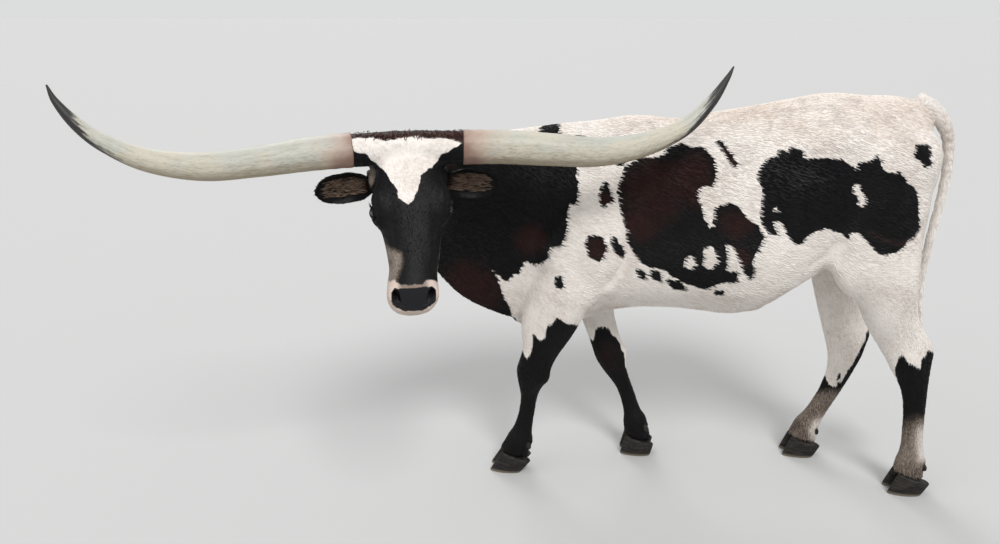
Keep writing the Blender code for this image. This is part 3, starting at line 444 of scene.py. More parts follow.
place = in_head(points)
flare = MUZZLE_SPREAD * rise(place[:, 1], 0.36, 0.44) * (part == 2)
aside = MUZZLE_ASIDE * rise(place[:, 1], 0.34, 0.45) * (part == 2)
points = points + (place[:, 0] * flare + aside)[:, None] * np.array(head_left)
side, slant, proud = on_pad(in_head(points) - np.array((MUZZLE_ASIDE, 0.0, 0.0))).T
front = (part == 2) * rise(slant, -0.020, 0.004)
flat = np.where(proud > 0, proud * (1.0 - PAD_ROUND) * front * (1.0 - rise(np.abs(side), 0.050, 0.066)), 0.0)
points = points - (flat[:, None] * pad_out) @ head_axes
inside = np.zeros(len(points))
for flank in (1, -1):
    s = side * flank - NOSTRIL[0]
    t = slant - NOSTRIL[1]
    across = s * math.cos(NOSTRIL_LEAN) + t * math.sin(NOSTRIL_LEAN)
    down = t * math.cos(NOSTRIL_LEAN) - s * math.sin(NOSTRIL_LEAN)
    across = across + 10.0 * down ** 2 - 0.001
    narrowed = NOSTRIL_SIZE[0] * (1.0 - 0.35 * rise(down, -0.01, 0.018))
    gap = np.hypot(across / narrowed, down / NOSTRIL_SIZE[1])
    hole = (1.0 - rise(gap, 0.50, 1.10)) * front
    rim = np.exp(-((gap - 1.45) / 0.35) ** 2) * front
    inside = np.maximum(inside, hole)
    inward = np.array((-0.15 * flank, -0.75, -0.65)) @ head_axes
    points = points + inward * (NOSTRIL_DEPTH * hole)[:, None] + normals * (NOSTRIL_RIM * rim)[:, None]

place = in_head(points)
turn = np.arctan2(place[:, 0], place[:, 1] - MOUTH_CENTRE)
share = turn / MOUTH_TURN
height = place[:, 2] - (MOUTH_LINE - MOUTH_DROOP * share ** 2)
fade = (1.0 - rise(np.abs(share), 0.80, 1.0)) * rise(place[:, 1], 0.30, 0.34)
radial = np.stack((np.sin(turn), np.cos(turn), np.zeros(len(turn))), axis=1) @ head_axes
depth = 0.0065 * np.exp(-(height / 0.0024) ** 2) - 0.0020 * np.exp(-((np.abs(height) - 0.0070) / 0.004) ** 2)
points = points - radial * (depth * fade)[:, None]
# The mouth's line: no tufts grow along it, and painted shade darkens it.
mouth_seam = np.exp(-(height / 0.0030) ** 2) * fade
moved_to(hide, points)
normals = normals_of(hide)

# The coat is white, with black and mahogany patches. On the near side each patch follows an
# outline in the picture, laid on the hide along the camera's lines of sight; the far side has
# patches of its own, given in metres from above the middle of the feet.
NECK_PATCH = ((536, 60), (540, 119), (552, 120), (559, 128), (556, 146), (552, 161), (570, 163),
              (576, 173), (578, 186), (576, 208), (570, 202), (567, 206), (566, 232), (562, 244),
              (556, 247), (552, 246), (546, 238), (535.5, 229),
              (541, 233), (546, 252), (544, 258), (538, 258), (532, 268), (524, 274), (512.5, 274.5),
              (508, 282), (503, 282), (494, 272), (490, 267), (496, 278), (502, 292), (505, 302),
              (516, 317), (514, 326), (500, 350), (300, 420),
              (250, 60))
CREST = ((470, 90), (620, 90), (620, 136), (566, 134), (545, 130), (520, 131), (505, 130))
WITHERS_SPOT = ((537, 121), (542, 119), (550, 118), (556, 122), (560, 128), (556, 134), (541, 133))
RIB_PATCH = ((622, 174), (626, 165), (638, 157), (660, 155), (669, 146), (682, 142), (691, 147.5),
             (702, 147), (714, 159), (716, 180), (711, 186), (701, 187), (695, 194), (699.5, 203),
             (705, 221), (711, 231), (714, 209), (727, 202), (738, 205), (746, 218), (758, 227),
             (764, 238), (758, 250), (752, 262), (753, 277), (748, 282), (743.5, 274), (738, 259),
             (732, 247), (724, 243), (727, 256), (726, 271), (737, 272), (736, 282), (719, 285),
             (702, 290), (688, 285), (664, 271), (650, 268), (638, 262), (626, 244), (625, 227),
             (619, 209), (616, 191.5))
HIP_PATCH = ((755, 177), (760, 165), (768, 157), (777, 156), (777, 147.5), (786, 150), (790, 145),
             (802, 147), (805, 156), (826, 157), (843, 159), (856, 171), (859, 162), (871, 161),
             (877, 153), (881, 164), (886, 174), (900, 171), (908, 183), (915, 188.5), (918, 200),
             (918, 215), (921, 233), (909, 241), (903, 250), (887, 255), (878, 253), (868, 244),
             (856, 231), (849, 233), (849, 240), (840, 233), (826, 228), (805, 238), (802, 244),
             (793, 244), (786, 233), (780, 221), (771, 220), (777, 235.5), (768, 234), (760, 221),
             (760, 206), (763, 188.5))
SMALL_PATCHES = (
    ((597, 197), (604, 181), (613, 200), (601, 209)),
    ((588, 234), (600, 236), (606, 250), (599, 261), (588, 256), (584, 244)),
    ((608, 233), (616, 238), (625, 254), (622, 260), (613, 250)),
    ((615, 160), (622, 161), (621, 165.5), (615, 165)),
    ((714, 141), (720, 139), (739, 165), (733, 169)),
    ((914, 150), (916, 143), (925, 146), (927, 153), (930, 165), (924, 168), (920, 161), (913, 157)),
    ((554, 277), (560, 275), (563, 283), (562, 290), (557, 291), (553, 284)),
    ((632, 265), (645, 272), (647, 281), (638, 278)),
    ((647, 268), (660, 274), (661, 282), (651, 280)),
    ((664, 279), (680, 283), (686, 290), (672, 291)),
    ((713, 291), (724, 291), (723, 295), (714, 295)),
)
WHITE_HOLES = (
    ((684, 257), (691, 256), (695, 264), (690, 271), (682, 268)),
    ((704, 248), (713, 247), (716, 262), (709, 271), (702, 265)),
    ((854, 187), (857, 183), (860, 190), (864, 196), (864, 202), (861, 208), (858, 206), (858, 198),
     (853, 194)),
    ((773, 206), (777, 206), (777, 213), (773, 213)),
)
BLAZE = ((350, 139), (361, 137), (372, 137), (383.5, 141), (393, 139), (403, 137), (416, 135),
         (424, 137), (441, 136), (452, 139), (463, 143), (448, 152), (440, 156), (437, 163),
         (427, 170), (421, 176), (418, 190), (413, 198), (408.4, 205.4), (402, 200.5), (398, 197),
         (396, 186), (389, 177), (382, 170), (374, 163), (367, 155), (354, 152))
# Painted highlight: an outline of pale sunlit hair at the near ear's root.
EAR_ROOT_HIGHLIGHT = ((367, 168), (372, 166), (375, 172), (374, 182), (370, 189), (367, 182))
CHEEK = ((376, 228), (382, 240), (390, 247), (402, 252), (404, 262), (401, 281), (396, 286),
         (340, 290), (340, 230))
RING_EDGE = ((398, 280), (404, 285), (424, 284), (428, 280.5), (434, 280), (445, 285), (450, 330),
             (370, 330), (380, 290), (388, 283))
STOCKINGS = {
    "front_left": ((480, 348), (521.5, 348.5), (526, 359), (531, 351), (532, 333), (536, 335),
                   (540, 342), (546, 337), (547, 325.5), (553, 323), (558, 318), (567, 324),
                   (620, 330), (620, 600), (440, 600)),
    "front_right": ((560, 330), (582, 332), (588, 339.5), (593.5, 342), (593.5, 333), (596, 328),
                    (602, 327), (609, 328), (613, 334), (619, 339.5), (623, 354), (628, 368),
                    (690, 372), (690, 600), (560, 600)),
    "hind_left": ((870, 388), (897, 387), (895, 369), (898, 361), (902, 356), (911, 364), (921, 369),
                  (922, 359.5), (930, 350), (934, 352), (970, 352), (970, 600), (860, 600)),
    "hind_right": ((740, 376), (824, 374), (829, 385), (838, 387), (841, 383), (851, 367), (861, 349),
                   (866, 340), (868, 330), (900, 330), (900, 600), (740, 600)),
}
HOCK_SPOT = ((838, 374), (841, 373), (842, 378), (840, 380), (842, 387), (838, 387), (836, 380))
HEEL_WHITES = {
    "hind_left": ((916, 428), (921, 420), (934, 424), (936, 458), (918, 462)),
    "hind_right": ((808, 428), (814, 420), (830, 414), (832, 436), (812, 444)),
}
FADES = {"hind_left": (400, 436), "hind_right": (382, 398)}   # where the cannon turns grey
FAR_PATCHES = (                      # along and up, in metres
    ((-0.90, 1.60), (-0.66, 1.60), (-0.56, 1.20), (-0.40, 1.14), (-0.29, 1.08), (-0.33, 1.00),
     (-0.31, 0.92), (-0.38, 0.84), (-0.47, 0.86), (-0.52, 0.78), (-0.60, 0.74), (-0.66, 0.60),
     (-0.90, 0.60)),
    ((-0.17, 1.17), (-0.06, 1.22), (0.05, 1.19), (0.11, 1.10), (0.07, 1.01), (0.15, 0.93), (0.13, 0.82),
     (0.03, 0.74), (-0.07, 0.77), (-0.12, 0.87), (-0.20, 0.94), (-0.16, 1.06)),
    ((0.24, 1.19), (0.33, 1.25), (0.45, 1.22), (0.52, 1.13), (0.62, 1.10), (0.64, 0.98), (0.57, 0.90),
     (0.48, 0.93), (0.42, 0.86), (0.33, 0.90), (0.31, 1.00), (0.23, 1.06)),
    ((-0.20, 0.80), (-0.15, 0.84), (-0.12, 0.79), (-0.17, 0.75)),
    ((0.17, 0.84), (0.21, 0.88), (0.24, 0.82), (0.19, 0.79)),
    ((0.02, 1.27), (0.10, 1.29), (0.12, 1.25), (0.05, 1.24)),
)
BROWN_SPOTS = (                      # pixel and radius of the mahogany places in the patches
    (655, 190, 44), (690, 180, 34), (595, 248, 16), (604, 200, 12), (640, 225, 24), (728, 158, 16),
    (735, 225, 22), (468, 292, 40), (530, 240, 22), (738, 258, 16),
    (608, 356, 24))


def distance_inside(places, outline):
    """How far places lie inside a closed outline; below 0, how far outside it."""
    corners = np.array(outline, float)
    nearest = np.full(len(places), 1e9)
    within = np.zeros(len(places), bool)
    for one, two in zip(corners, np.roll(corners, -1, axis=0)):
        run = two - one
        share = np.clip((places - one) @ run / (run @ run), 0.0, 1.0)
        nearest = np.minimum(nearest, np.linalg.norm(places - one - share[:, None] * run, axis=1))
        if run[1]:
            crossing = one[0] + (places[:, 1] - one[1]) * run[0] / run[1]
            within ^= ((one[1] > places[:, 1]) != (two[1] > places[:, 1])) & (places[:, 0] < crossing)
    return np.where(within, nearest, -nearest)


def inside_any(places, outlines):
    """The same for several outlines, where the deepest counts."""
    return np.max([distance_inside(places, outline) for outline in outlines], axis=0)


def inside_spots(places, spots):
    """1 at the middle of a round spot, falling to 0 at its edge."""
    return np.max([1.0 - rise(np.hypot(places[:, 0] - u, places[:, 1] - v), reach * 0.3, reach * 1.3)
                   for u, v, reach in spots], axis=0)


def marked(points, part, normals):
    """The markings of any points of the animal: how far inside a patch and how brown, with their pixels, the
    size of a pixel there and how far they face the camera.
    """
    middle = np.zeros(len(points)) + SHIFT.y
    for number, leg in enumerate(legs):
        low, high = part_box(f"claw_{leg}_left"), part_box(f"claw_{leg}_right")
        middle = np.where(part == 3 + number, sum(corner.y for corner in (*low, *high)) / 4, middle)
    near = points.copy()
    near[:, 1] = np.where(part >= 3, np.minimum(near[:, 1], middle), near[:, 1])
    pixels, far = pixels_of(near)
    grain = far / FOCAL_PIXELS
    near_dark = np.maximum.reduce([distance_inside(pixels, NECK_PATCH), distance_inside(pixels, RIB_PATCH),
                                   distance_inside(pixels, HIP_PATCH), inside_any(pixels, SMALL_PATCHES)])
    near_dark = np.minimum(near_dark, -inside_any(pixels, WHITE_HOLES)) * grain
    body = points - np.array(SHIFT)
    along, up = body[:, 0], body[:, 2]
    for count, reach in ((11.0, 0.024), (23.0, 0.014), (47.0, 0.008)):
        along, up = along + reach * np.sin(count * up + 1.7), up + reach * np.sin(count * along + 0.6)
    far_dark = inside_any(np.stack((along, up), axis=1), FAR_PATCHES)
    far_share = rise(body[:, 1], -0.02, 0.03)
    dark = near_dark * (1.0 - far_share) + far_dark * far_share
    brisket = (pixels[:, 0] > 488) & (pixels[:, 1] > 262) & (far_share < 0.5)
    dark = np.where(part == 1, np.where(brisket, near_dark, 0.1), dark)
    crest = np.where((part < 2) & (normals[:, 2] > 0.1), distance_inside(pixels, CREST), -100.0)
    dark = np.minimum(dark, -crest * grain)
    dark = np.where(part < 2, np.maximum(dark, distance_inside(pixels, WITHERS_SPOT) * grain), dark)
    facing = -(normals * (points - EYE_POINT)).sum(1) / np.linalg.norm(points - EYE_POINT, axis=1)
    blaze = np.minimum(distance_inside(pixels, BLAZE) * grain, (facing - 0.05) * 0.1)
    dark = np.where(part == 2, -blaze, dark)
    for number, leg in enumerate(legs):
        sock = distance_inside(pixels, STOCKINGS[leg])
        if leg == "hind_right":
            sock = np.maximum(sock, distance_inside(pixels, HOCK_SPOT))
        dark = np.where(part == 3 + number, sock * grain, dark)
    brown = inside_spots(pixels, BROWN_SPOTS) * (part != 2) * (1.0 - far_share * (part < 2))
    brown = brown * np.where(part > 2, 0.55, 1.0)
    place = in_head(points)
    brown = np.maximum(brown, (part == 2) * (1.0 - rise(np.abs(place[:, 1] + 0.015), 0.032, 0.080)) * 1.3)
    clouded = 0.5 + 0.5 * np.sin(body[:, 0] * 9.0 + body[:, 2] * 5.0)
    brown = np.maximum(brown, far_share * (part < 2) * clouded)
    return dark, brown, pixels, grain, facing


class Wire:
    """One output of a node, so that a sum written on it adds its own Math nodes."""

    def __init__(self, made, socket):
        self.made = made
        self.socket = socket

    def maths(self, how, *terms):
        """A Math node on the given wires and numbers."""
        return self.made.node("ShaderNodeMath", {"operation": how}, dict(enumerate(terms)))

    def other(self, name):
        """Another output of the same node."""
        return Wire(self.made, self.socket.node.outputs[name])

    def __add__(self, other):
        return self.maths("ADD", self, other)

    def __radd__(self, other):
        return self.maths("ADD", other, self)

    def __sub__(self, other):
        return self.maths("SUBTRACT", self, other)

    def __rsub__(self, other):
        return self.maths("SUBTRACT", other, self)

    def __mul__(self, other):
        return self.maths("MULTIPLY", self, other)

    def __truediv__(self, other):
        return self.maths("DIVIDE", self, other)

    def __pow__(self, other):
        return self.maths("POWER", self, other)


class Tree:
    """A node tree under construction; every node of it comes from one method."""

    def __init__(self, tree):
        self.tree = tree

    def node(self, kind, settings=None, sockets=None, out=0):
        """Adds a node: its settings first, then the values or links of its sockets."""
        made = self.tree.nodes.new(kind)
        for name, value in (settings or {}).items():
            setattr(made, name, value)
        for name, value in (sockets or {}).items():
            socket = made.inputs[name]
            if isinstance(value, Wire):
                self.tree.links.new(value.socket, socket)
            elif socket.type == "RGBA":
                socket.default_value = (*value, 1.0)
            else:
                socket.default_value = value
        return Wire(self, made.outputs[out])

    def stored(self, name, out="Fac"):
        """A value that the mesh keeps at its points."""
        return self.node("ShaderNodeAttribute", {"attribute_name": name}, out=out)

    def step(self, value, low, high):
        """0 below low, 1 above high and smooth between."""
        return self.node("ShaderNodeMapRange", {"interpolation_type": "SMOOTHSTEP"},
                         {"Value": value, "From Min": low, "From Max": high})

    def blend(self, share, one, two):
        """One colour going over to another."""
        return self.node("ShaderNodeMix", {"data_type": "RGBA", "blend_type": "MIX", "clamp_factor": True},
                         {0: share, 6: one, 7: two}, out=2)

    def vectors(self, how, *terms):
        """A Vector Math node on the given wires and vectors."""
        return self.node("ShaderNodeVectorMath", {"operation": how}, dict(enumerate(terms)))

    def noise(self, place, scale, detail=2.0, roughness=0.5, stretch=(1, 1, 1)):
        """Cloudy noise at a scale, drawn out along the axes where stretch is under 1."""
        if tuple(stretch) != (1, 1, 1):
            place = self.vectors("MULTIPLY", place, stretch)
        return self.node("ShaderNodeTexNoise", {}, {"Vector": place, "Scale": scale, "Detail": detail,
                                                   "Roughness": roughness})

    def bump(self, strength, distance, height):
        """Fine relief for the shader's normal."""
        return self.node("ShaderNodeBump", {}, {"Strength": strength, "Distance": distance, "Height": height})


def finish(name, **constants):
    """A new material, its tree and its shader's node, with what is the same all over it set."""
    made = bpy.data.materials.new(name)
    made.use_nodes = True
    shader = made.node_tree.nodes["Principled BSDF"]
    for socket, value in constants.items():
        shader.inputs[socket.replace("_", " ")].default_value = value
    return made, Tree(made.node_tree), shader


def painted(tree, shader, **links):
    """Joins what varies over the surface to the shader."""
    for socket, wire in links.items():
        tree.tree.links.new(wire.socket, shader.inputs[socket.replace("_", " ")])


def kept(mesh, name, values):
    """Stores a number or a vector at each point of a mesh."""
    values = np.asarray(values, float)
    kind = "FLOAT_VECTOR" if values.ndim == 2 else "FLOAT"
    layer = mesh.attributes.new(name, kind, "POINT")
    layer.data.foreach_set("vector" if values.ndim == 2 else "value", values.ravel())


def plainly_marked(mesh, **values):
    """Markings that are the same all over a small piece: plain white unless values say more."""
    spots = points_of(mesh)
    plain = {"dark": -1.0, "brown": 0.0, "ring": -1.0, "pad": -1.0, "roan": 0.0, "wet": 0.0, "seam": 0.0,
             "warm": 0.0, "upright": 0.0, "band": 0.0, "root": spots, **values}
    for name, value in plain.items():
        kept(mesh, name, np.zeros(len(spots)) + value if np.ndim(value) == 0 else value)


PAD_EDGE = ((-0.050, 0.004), (0.0, 0.006), (0.050, 0.004), (0.059, 0.016), (0.060, 0.034), (0.056, 0.050),
            (0.045, 0.064), (0.022, 0.074), (-0.022, 0.074), (-0.045, 0.064), (-0.056, 0.050),
            (-0.060, 0.034), (-0.059, 0.016))

dark, brown, pixels, grain, facing = marked(part_points, part, normals)
place = in_head(part_points)
on_head = (part == 2) * 1.0
facing_us = (facing - 0.05) * 0.1
under = np.where(facing < 0.05, place[:, 1] - 0.425, -1.0)
ring = np.maximum(np.minimum(distance_inside(pixels, RING_EDGE) * grain, facing_us + 0.01), under)
ring = np.where((part == 2) & (place[:, 1] > 0.38), ring, -1.0)
pad_place = on_pad(in_head(points) - np.array((MUZZLE_ASIDE, 0.0, 0.0)))
pad = distance_inside(pad_place[:, :2], PAD_EDGE)
band = (1.0 - rise(np.abs(pad_place[:, 0]), 0.028, 0.048)) * (1.0 - rise(pad_place[:, 1], 0.008, 0.020))
pad = np.where((part == 2) & (place[:, 1] > 0.42) & (place[:, 2] > -0.10), pad, -1.0)
away_cheek = rise(place[:, 1], 0.24, 0.36) * (1.0 - rise(facing, 0.0, 0.15))
cheek = distance_inside(pixels, CHEEK) * grain
cheek = rise(cheek, -0.014, 0.016) * (1.0 - 0.42 * rise(cheek, 0.016, 0.040)) * (place[:, 0] < 0)
# Painted highlight: pale roan hair painted at the ear's root where the hide faces the camera.
ear_root_highlight = 0.95 * rise(distance_inside(pixels, EAR_ROOT_HIGHLIGHT), -2.0, 2.5) * (facing > 0.02)
roan = np.maximum.reduce([cheek, away_cheek, ear_root_highlight]) * on_head
for leg, (low, high) in FADES.items():
    heel = rise(distance_inside(pixels, HEEL_WHITES[leg]), -8.0, 5.0)
    grey = 0.85 * rise(pixels[:, 1], low, high) + 0.46 * heel
    roan = np.maximum(roan, grey * (part == 3 + legs.index(leg)))
up = part_points[:, 2]
warm = rise(up, 1.14, 1.32) * (part < 2) + 0.5 * (1.0 - rise(up, 0.60, 0.75)) * (part == 0)
for name, values in (("dark", dark), ("brown", brown), ("ring", ring), ("pad", pad), ("roan", roan),
                     ("wet", inside), ("seam", mouth_seam), ("root", points),
                     ("warm", warm), ("band", band * on_head),
                     ("upright", rise(part, 1.5, 2.5))):
    kept(hide, name, values)

# The coat's colours, on the hide and on its tufts alike: cream white hair over pinkish skin, blue
# black and mahogany patches with jagged edges where the two lie over each other, roan cheeks.
# A painted highlight lies at the near ear's root, and painted shade in the nostrils and along the mouth.
CREAM = (0.78, 0.735, 0.69)
CREAM_SHADE = (0.60, 0.535, 0.49)
CREAM_WARM = (0.66, 0.52, 0.42)
CREAM_GREY = (0.40, 0.37, 0.36)
SKIN_PINK = (0.58, 0.38, 0.32)
BLACK = (0.0048, 0.0048, 0.0056)
MAHOGANY = (0.022, 0.0082, 0.0066)
ROAN = (0.100, 0.076, 0.060)
ROAN_LIGHT = (0.34, 0.29, 0.25)
PAD_BLACK = (0.014, 0.014, 0.016)
RING_PINK = (0.56, 0.455, 0.395)
RING_BROWN = (0.16, 0.115, 0.092)
# Painted shade inside the nostril holes.
NOSTRIL_SHADE = (0.010, 0.006, 0.006)
# Painted shade in the crease of the mouth.
MOUTH_CREASE_SHADE = (0.030, 0.014, 0.012)
EDGE_JAG = 0.016
EDGE_SOFT = 0.0012


def coat_colour(tree, place):
    """The colour of hide and hair at a place, from the stored markings."""
    jag = (tree.noise(place, 60.0, 3.0, 0.6, (0.45, 1, 1)) - 0.5) * EDGE_JAG
    jag = jag + (tree.noise(place, 14.0, 2.0) - 0.5) * (EDGE_JAG * 0.8)
    patch = tree.step(tree.stored("dark") + jag, -EDGE_SOFT, EDGE_SOFT)
    cloud = tree.noise(place, 5.0, 4.0, 0.6)
    hairs = tree.noise(place, 190.0, 2.0, 0.7, (0.30, 1, 1))
    cream = tree.blend(tree.step(cloud * 0.6 + hairs * 0.4, 0.45, 0.66), CREAM, CREAM_SHADE)
    warmed = tree.step(tree.stored("warm") + (cloud - 0.5) * 1.6, 0.3, 1.2) * 0.34
    cream = tree.blend(warmed, cream, CREAM_WARM)
    mottle = tree.step(tree.noise(place, 22.0, 4.0, 0.7) + tree.stored("warm") * 0.10, 0.58, 0.74)
    cream = tree.blend(mottle * 0.35, cream, CREAM_GREY)
    flecks = tree.step(tree.noise(place, 46.0, 3.0, 0.7), 0.60, 0.72)
    cream = tree.blend(flecks * 0.30, cream, SKIN_PINK)
    brown = tree.step(tree.stored("brown") + (tree.noise(place, 18.0, 4.0, 0.6) - 0.5) * 1.1, 0.15, 1.25)
    night = tree.blend(brown, BLACK, MAHOGANY)
    night = tree.blend(tree.step(hairs, 0.55, 0.75) * 0.15, night, MAHOGANY)
    mixed = tree.noise(place, 320.0, 2.0, 0.7, (1, 1, 0.35))
    roan = tree.stored("roan")
    pale = tree.step(mixed * 0.8 + cloud * 0.5 + roan * 0.45, 0.85, 1.35)
    grey = tree.blend(pale, ROAN, ROAN_LIGHT)
    grey = tree.blend(tree.step(roan + (mixed - 0.5) * 0.4, 1.05, 1.55), grey, CREAM)
    greyed = tree.step(roan * (1.0 + (mixed - 0.5) * 1.6 + (cloud - 0.5) * 1.2), 0.20, 0.80)
    night = tree.blend(greyed, night, grey)
    return tree.blend(patch, cream, night), patch


coat, tree, shader = finish("coat", Specular_IOR_Level=0.11)
place_wire = tree.stored("root", "Vector")
colour, patch = coat_colour(tree, place_wire)
ring_share = tree.step(tree.stored("ring") + (tree.noise(place_wire, 60.0, 3.0) - 0.5) * 0.014, -0.002, 0.003)
ring_cloud = tree.step(tree.noise(place_wire, 55.0, 3.0), 0.40, 0.70) * 0.35
ring_colour = tree.blend(ring_cloud, RING_PINK, CREAM_SHADE)
ring_colour = tree.blend(tree.stored("band") * 0.85, ring_colour, RING_BROWN)
colour = tree.blend(ring_share, colour, ring_colour)
pad_share = tree.step(tree.stored("pad") + (tree.noise(place_wire, 90.0, 2.0) - 0.5) * 0.006, -0.001, 0.001)
colour = tree.blend(pad_share, colour, PAD_BLACK)
# Painted shade: the nostril holes darkened as if in their own shadow.
colour = tree.blend(tree.stored("wet"), colour, NOSTRIL_SHADE)
# Painted shade along the mouth's crease.
colour = tree.blend(tree.stored("seam") * 0.8, colour, MOUTH_CREASE_SHADE)
cobbles = tree.node("ShaderNodeTexVoronoi", {"feature": "SMOOTH_F1"},
                    {"Vector": place_wire, "Scale": 330.0, "Smoothness": 0.35})
lengthways = tree.noise(place_wire, 420.0, 2.0, 0.6, (0.16, 1, 1))
downways = tree.noise(place_wire, 420.0, 2.0, 0.6, (1, 1, 0.16))
upright = tree.stored("upright")
strands = lengthways * (1.0 - upright) + downways * upright
relief = strands * (1.0 - pad_share) + (1.0 - cobbles) * pad_share * 1.5
bump = tree.bump(0.5, 0.0012, relief)
rough = 0.62 - patch * 0.16 - pad_share * 0.14
painted(tree, shader, Base_Color=colour, Roughness=rough, Normal=bump)
hide.materials.append(coat)


def shown(name, mesh, slot, *nodes):
    """Puts a finished piece in the scene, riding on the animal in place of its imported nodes."""
    piece = placed(name, mesh)
    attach(piece, "root")
    if nodes:
        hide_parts(*nodes)
    return piece


shown("hide", hide, "coat", *flesh_nodes)

# The coat is short sleek hair, in tufts that overlap like thatch and lie back along the body:
# backwards and a little down on the trunk, down the legs and away from the nose on the face.
# They are combed over the hide by one Geometry Nodes tree, region by region.
TUFT_LENGTH = 0.018
TUFT_WIDTH = 0.0034
TUFT_THICKNESS = 0.0008
TUFT_LIFT = 0.0014
TUFT_SIZES = (1.0, 0.95, 0.42, 0.62, 0.62, 0.62, 0.62)   # trunk, neck, head and the four legs
TUFTS_PER_SQUARE_METRE = 21000.0
FINE_GAIN = 2.2                      # face and feet carry more tufts, as theirs are small
LIE_ON_TRUNK = np.array((0.93, 0.0, -0.36))
LIE_ON_NECK = np.array((0.80, 0.25, -0.55))
LIE_DOWN_LEG = np.array((0.10, 0.0, -1.0))
LIE_UP_FACE = np.array((0.0, -1.0, 0.0))   # in the head's own directions
SWIRL_ASIDE = np.array((0.35, 0.0, 0.0))
TUFT_TILT_LEAST = (-0.08, -0.03, -0.16)
TUFT_TILT_MOST = (0.08, 0.02, 0.16)
SHOULDER_BACK = -0.15                # the trunk's coat is cut into pieces here
HIP_FRONT = 0.26
OFBAKE_PATCH = 0.003                 # each tuft's patch on the OFBake map, as a share of it
COAT_SEED = 11                       # of the first region; each next one has the next number

body = points - np.array(SHIFT)
lie = np.where((part == 1)[:, None], LIE_ON_NECK, LIE_ON_TRUNK)
down_leg = (1.0 - rise(body[:, 2], 0.50, 0.85))[:, None]
on_legs = LIE_ON_TRUNK * (1.0 - down_leg) + LIE_DOWN_LEG * down_leg
lie = np.where((part >= 3)[:, None], on_legs, lie)
swirl = (LIE_UP_FACE + np.sign(place[:, :1]) * SWIRL_ASIDE) @ head_axes
lie = np.where((part == 2)[:, None], swirl, lie)
lie = lie - normals * (lie * normals).sum(1)[:, None]
lie /= np.linalg.norm(lie, axis=1)[:, None] + 1e-9
lie = eased(hide, lie, 8, 0.5)
size = np.array(TUFT_SIZES)[part]
size = size * np.where(part == 2, 1.0 - 0.45 * rise(place[:, 1], 0.30, 0.46), 1.0)
size = size * np.where(part >= 3, 0.70 + 0.30 * rise(body[:, 2], 0.10, 0.55), 1.0)
size = size * (1.0 + 1.1 * (1.0 - rise(body[:, 2], 0.080, 0.125)))
size = eased(hide, np.repeat(size[:, None], 3, axis=1), 12, 0.5)[:, 0]
bald = np.maximum.reduce([rise(pad, -0.002, 0.002), inside, 1.0 - rise(eye_gap, 0.026, 0.034),
                          mouth_seam])
kept(hide, "lie", lie)
kept(hide, "size", size)
gain = 1.0 + (FINE_GAIN - 1.0) * rise(1.0 - size, 0.1, 0.5)
kept(hide, "furred", np.clip(1.0 - bald, 0.0, 1.0) * gain)


def unwrapped(points, part):
    """Where hide points lie on an unwrap of their own part: round it and along it, 0 to 1."""
    spots = np.zeros((len(points), 2))
    for number in range(len(flesh_nodes)):
        ours = part == number
        if not ours.any():
            continue
        here = points[ours]
        if number == 2:
            here = in_head(here)[:, [1, 0, 2]]
        elif number > 2:
            here = here[:, [2, 0, 1]]
        middle = (here.min(0) + here.max(0)) / 2
        angle = np.arctan2(here[:, 1] - middle[1], here[:, 2] - middle[2]) / (2 * math.pi) + 0.5
        along = (here[:, 0] - here[:, 0].min()) / max(np.ptp(here[:, 0]), 1e-6)
        spots[ours] = np.stack((angle, along), axis=1) * 0.98 + 0.01
    return spots


spots = unwrapped(points, part)
kept(hide, "spot", np.column_stack((spots, np.zeros(len(spots)))))


def geometry_tree(name, inputs):
    """An empty Geometry Nodes group with named inputs: the Tree, its inputs and its output node."""
    group = bpy.data.node_groups.new(name, "GeometryNodeTree")
    group.interface.new_socket("Geometry", in_out="INPUT", socket_type="NodeSocketGeometry")
    group.interface.new_socket("Geometry", in_out="OUTPUT", socket_type="NodeSocketGeometry")
    for label, value in inputs.items():
        kind = ("NodeSocketMaterial" if isinstance(value, bpy.types.Material) else
                "NodeSocketInt" if isinstance(value, int) else "NodeSocketFloat")
        group.interface.new_socket(label, in_out="INPUT", socket_type=kind)
    tree = Tree(group)
    entry = group.nodes.new("NodeGroupInput")
    given = {socket.name: Wire(tree, socket) for socket in entry.outputs if socket.name}
    return tree, given, group.nodes.new("NodeGroupOutput")


def grown(base, group, values, name):
    """The mesh that a Geometry Nodes group makes on a base object with the given inputs."""
    step = base.modifiers.new("Grow", "NODES")
    step.node_group = group
    for item in group.interface.items_tree:
        if item.item_type == "SOCKET" and item.in_out == "INPUT" and item.name in values:
            step[item.identifier] = values[item.name]
    base.update_tag()
    view = bpy.context.evaluated_depsgraph_get()
    mesh = bpy.data.meshes.new_from_object(base.evaluated_get(view), preserve_all_data_layers=True,
                                           depsgraph=view)
    base.modifiers.remove(step)
    mesh.name = name
    return mesh


def named(tree, name, kind="FLOAT"):
    """An attribute of the geometry, read inside a Geometry Nodes tree."""
    return tree.node("GeometryNodeInputNamedAttribute", {"data_type": kind}, {"Name": name})


tuft_inputs = {"Density": 1.0, "Seed": 1, "Length": 1.0, "Width": 1.0, "Thickness": 1.0, "Lift": 1.0,
               "Finish": coat}
tree, given, leave = geometry_tree("Tufts", tuft_inputs)
roots = tree.node("GeometryNodeDistributePointsOnFaces", {}, {
    "Mesh": given["Geometry"], "Density": given["Density"] * named(tree, "furred"),
    "Seed": given["Seed"]})
upward = roots.other("Normal")

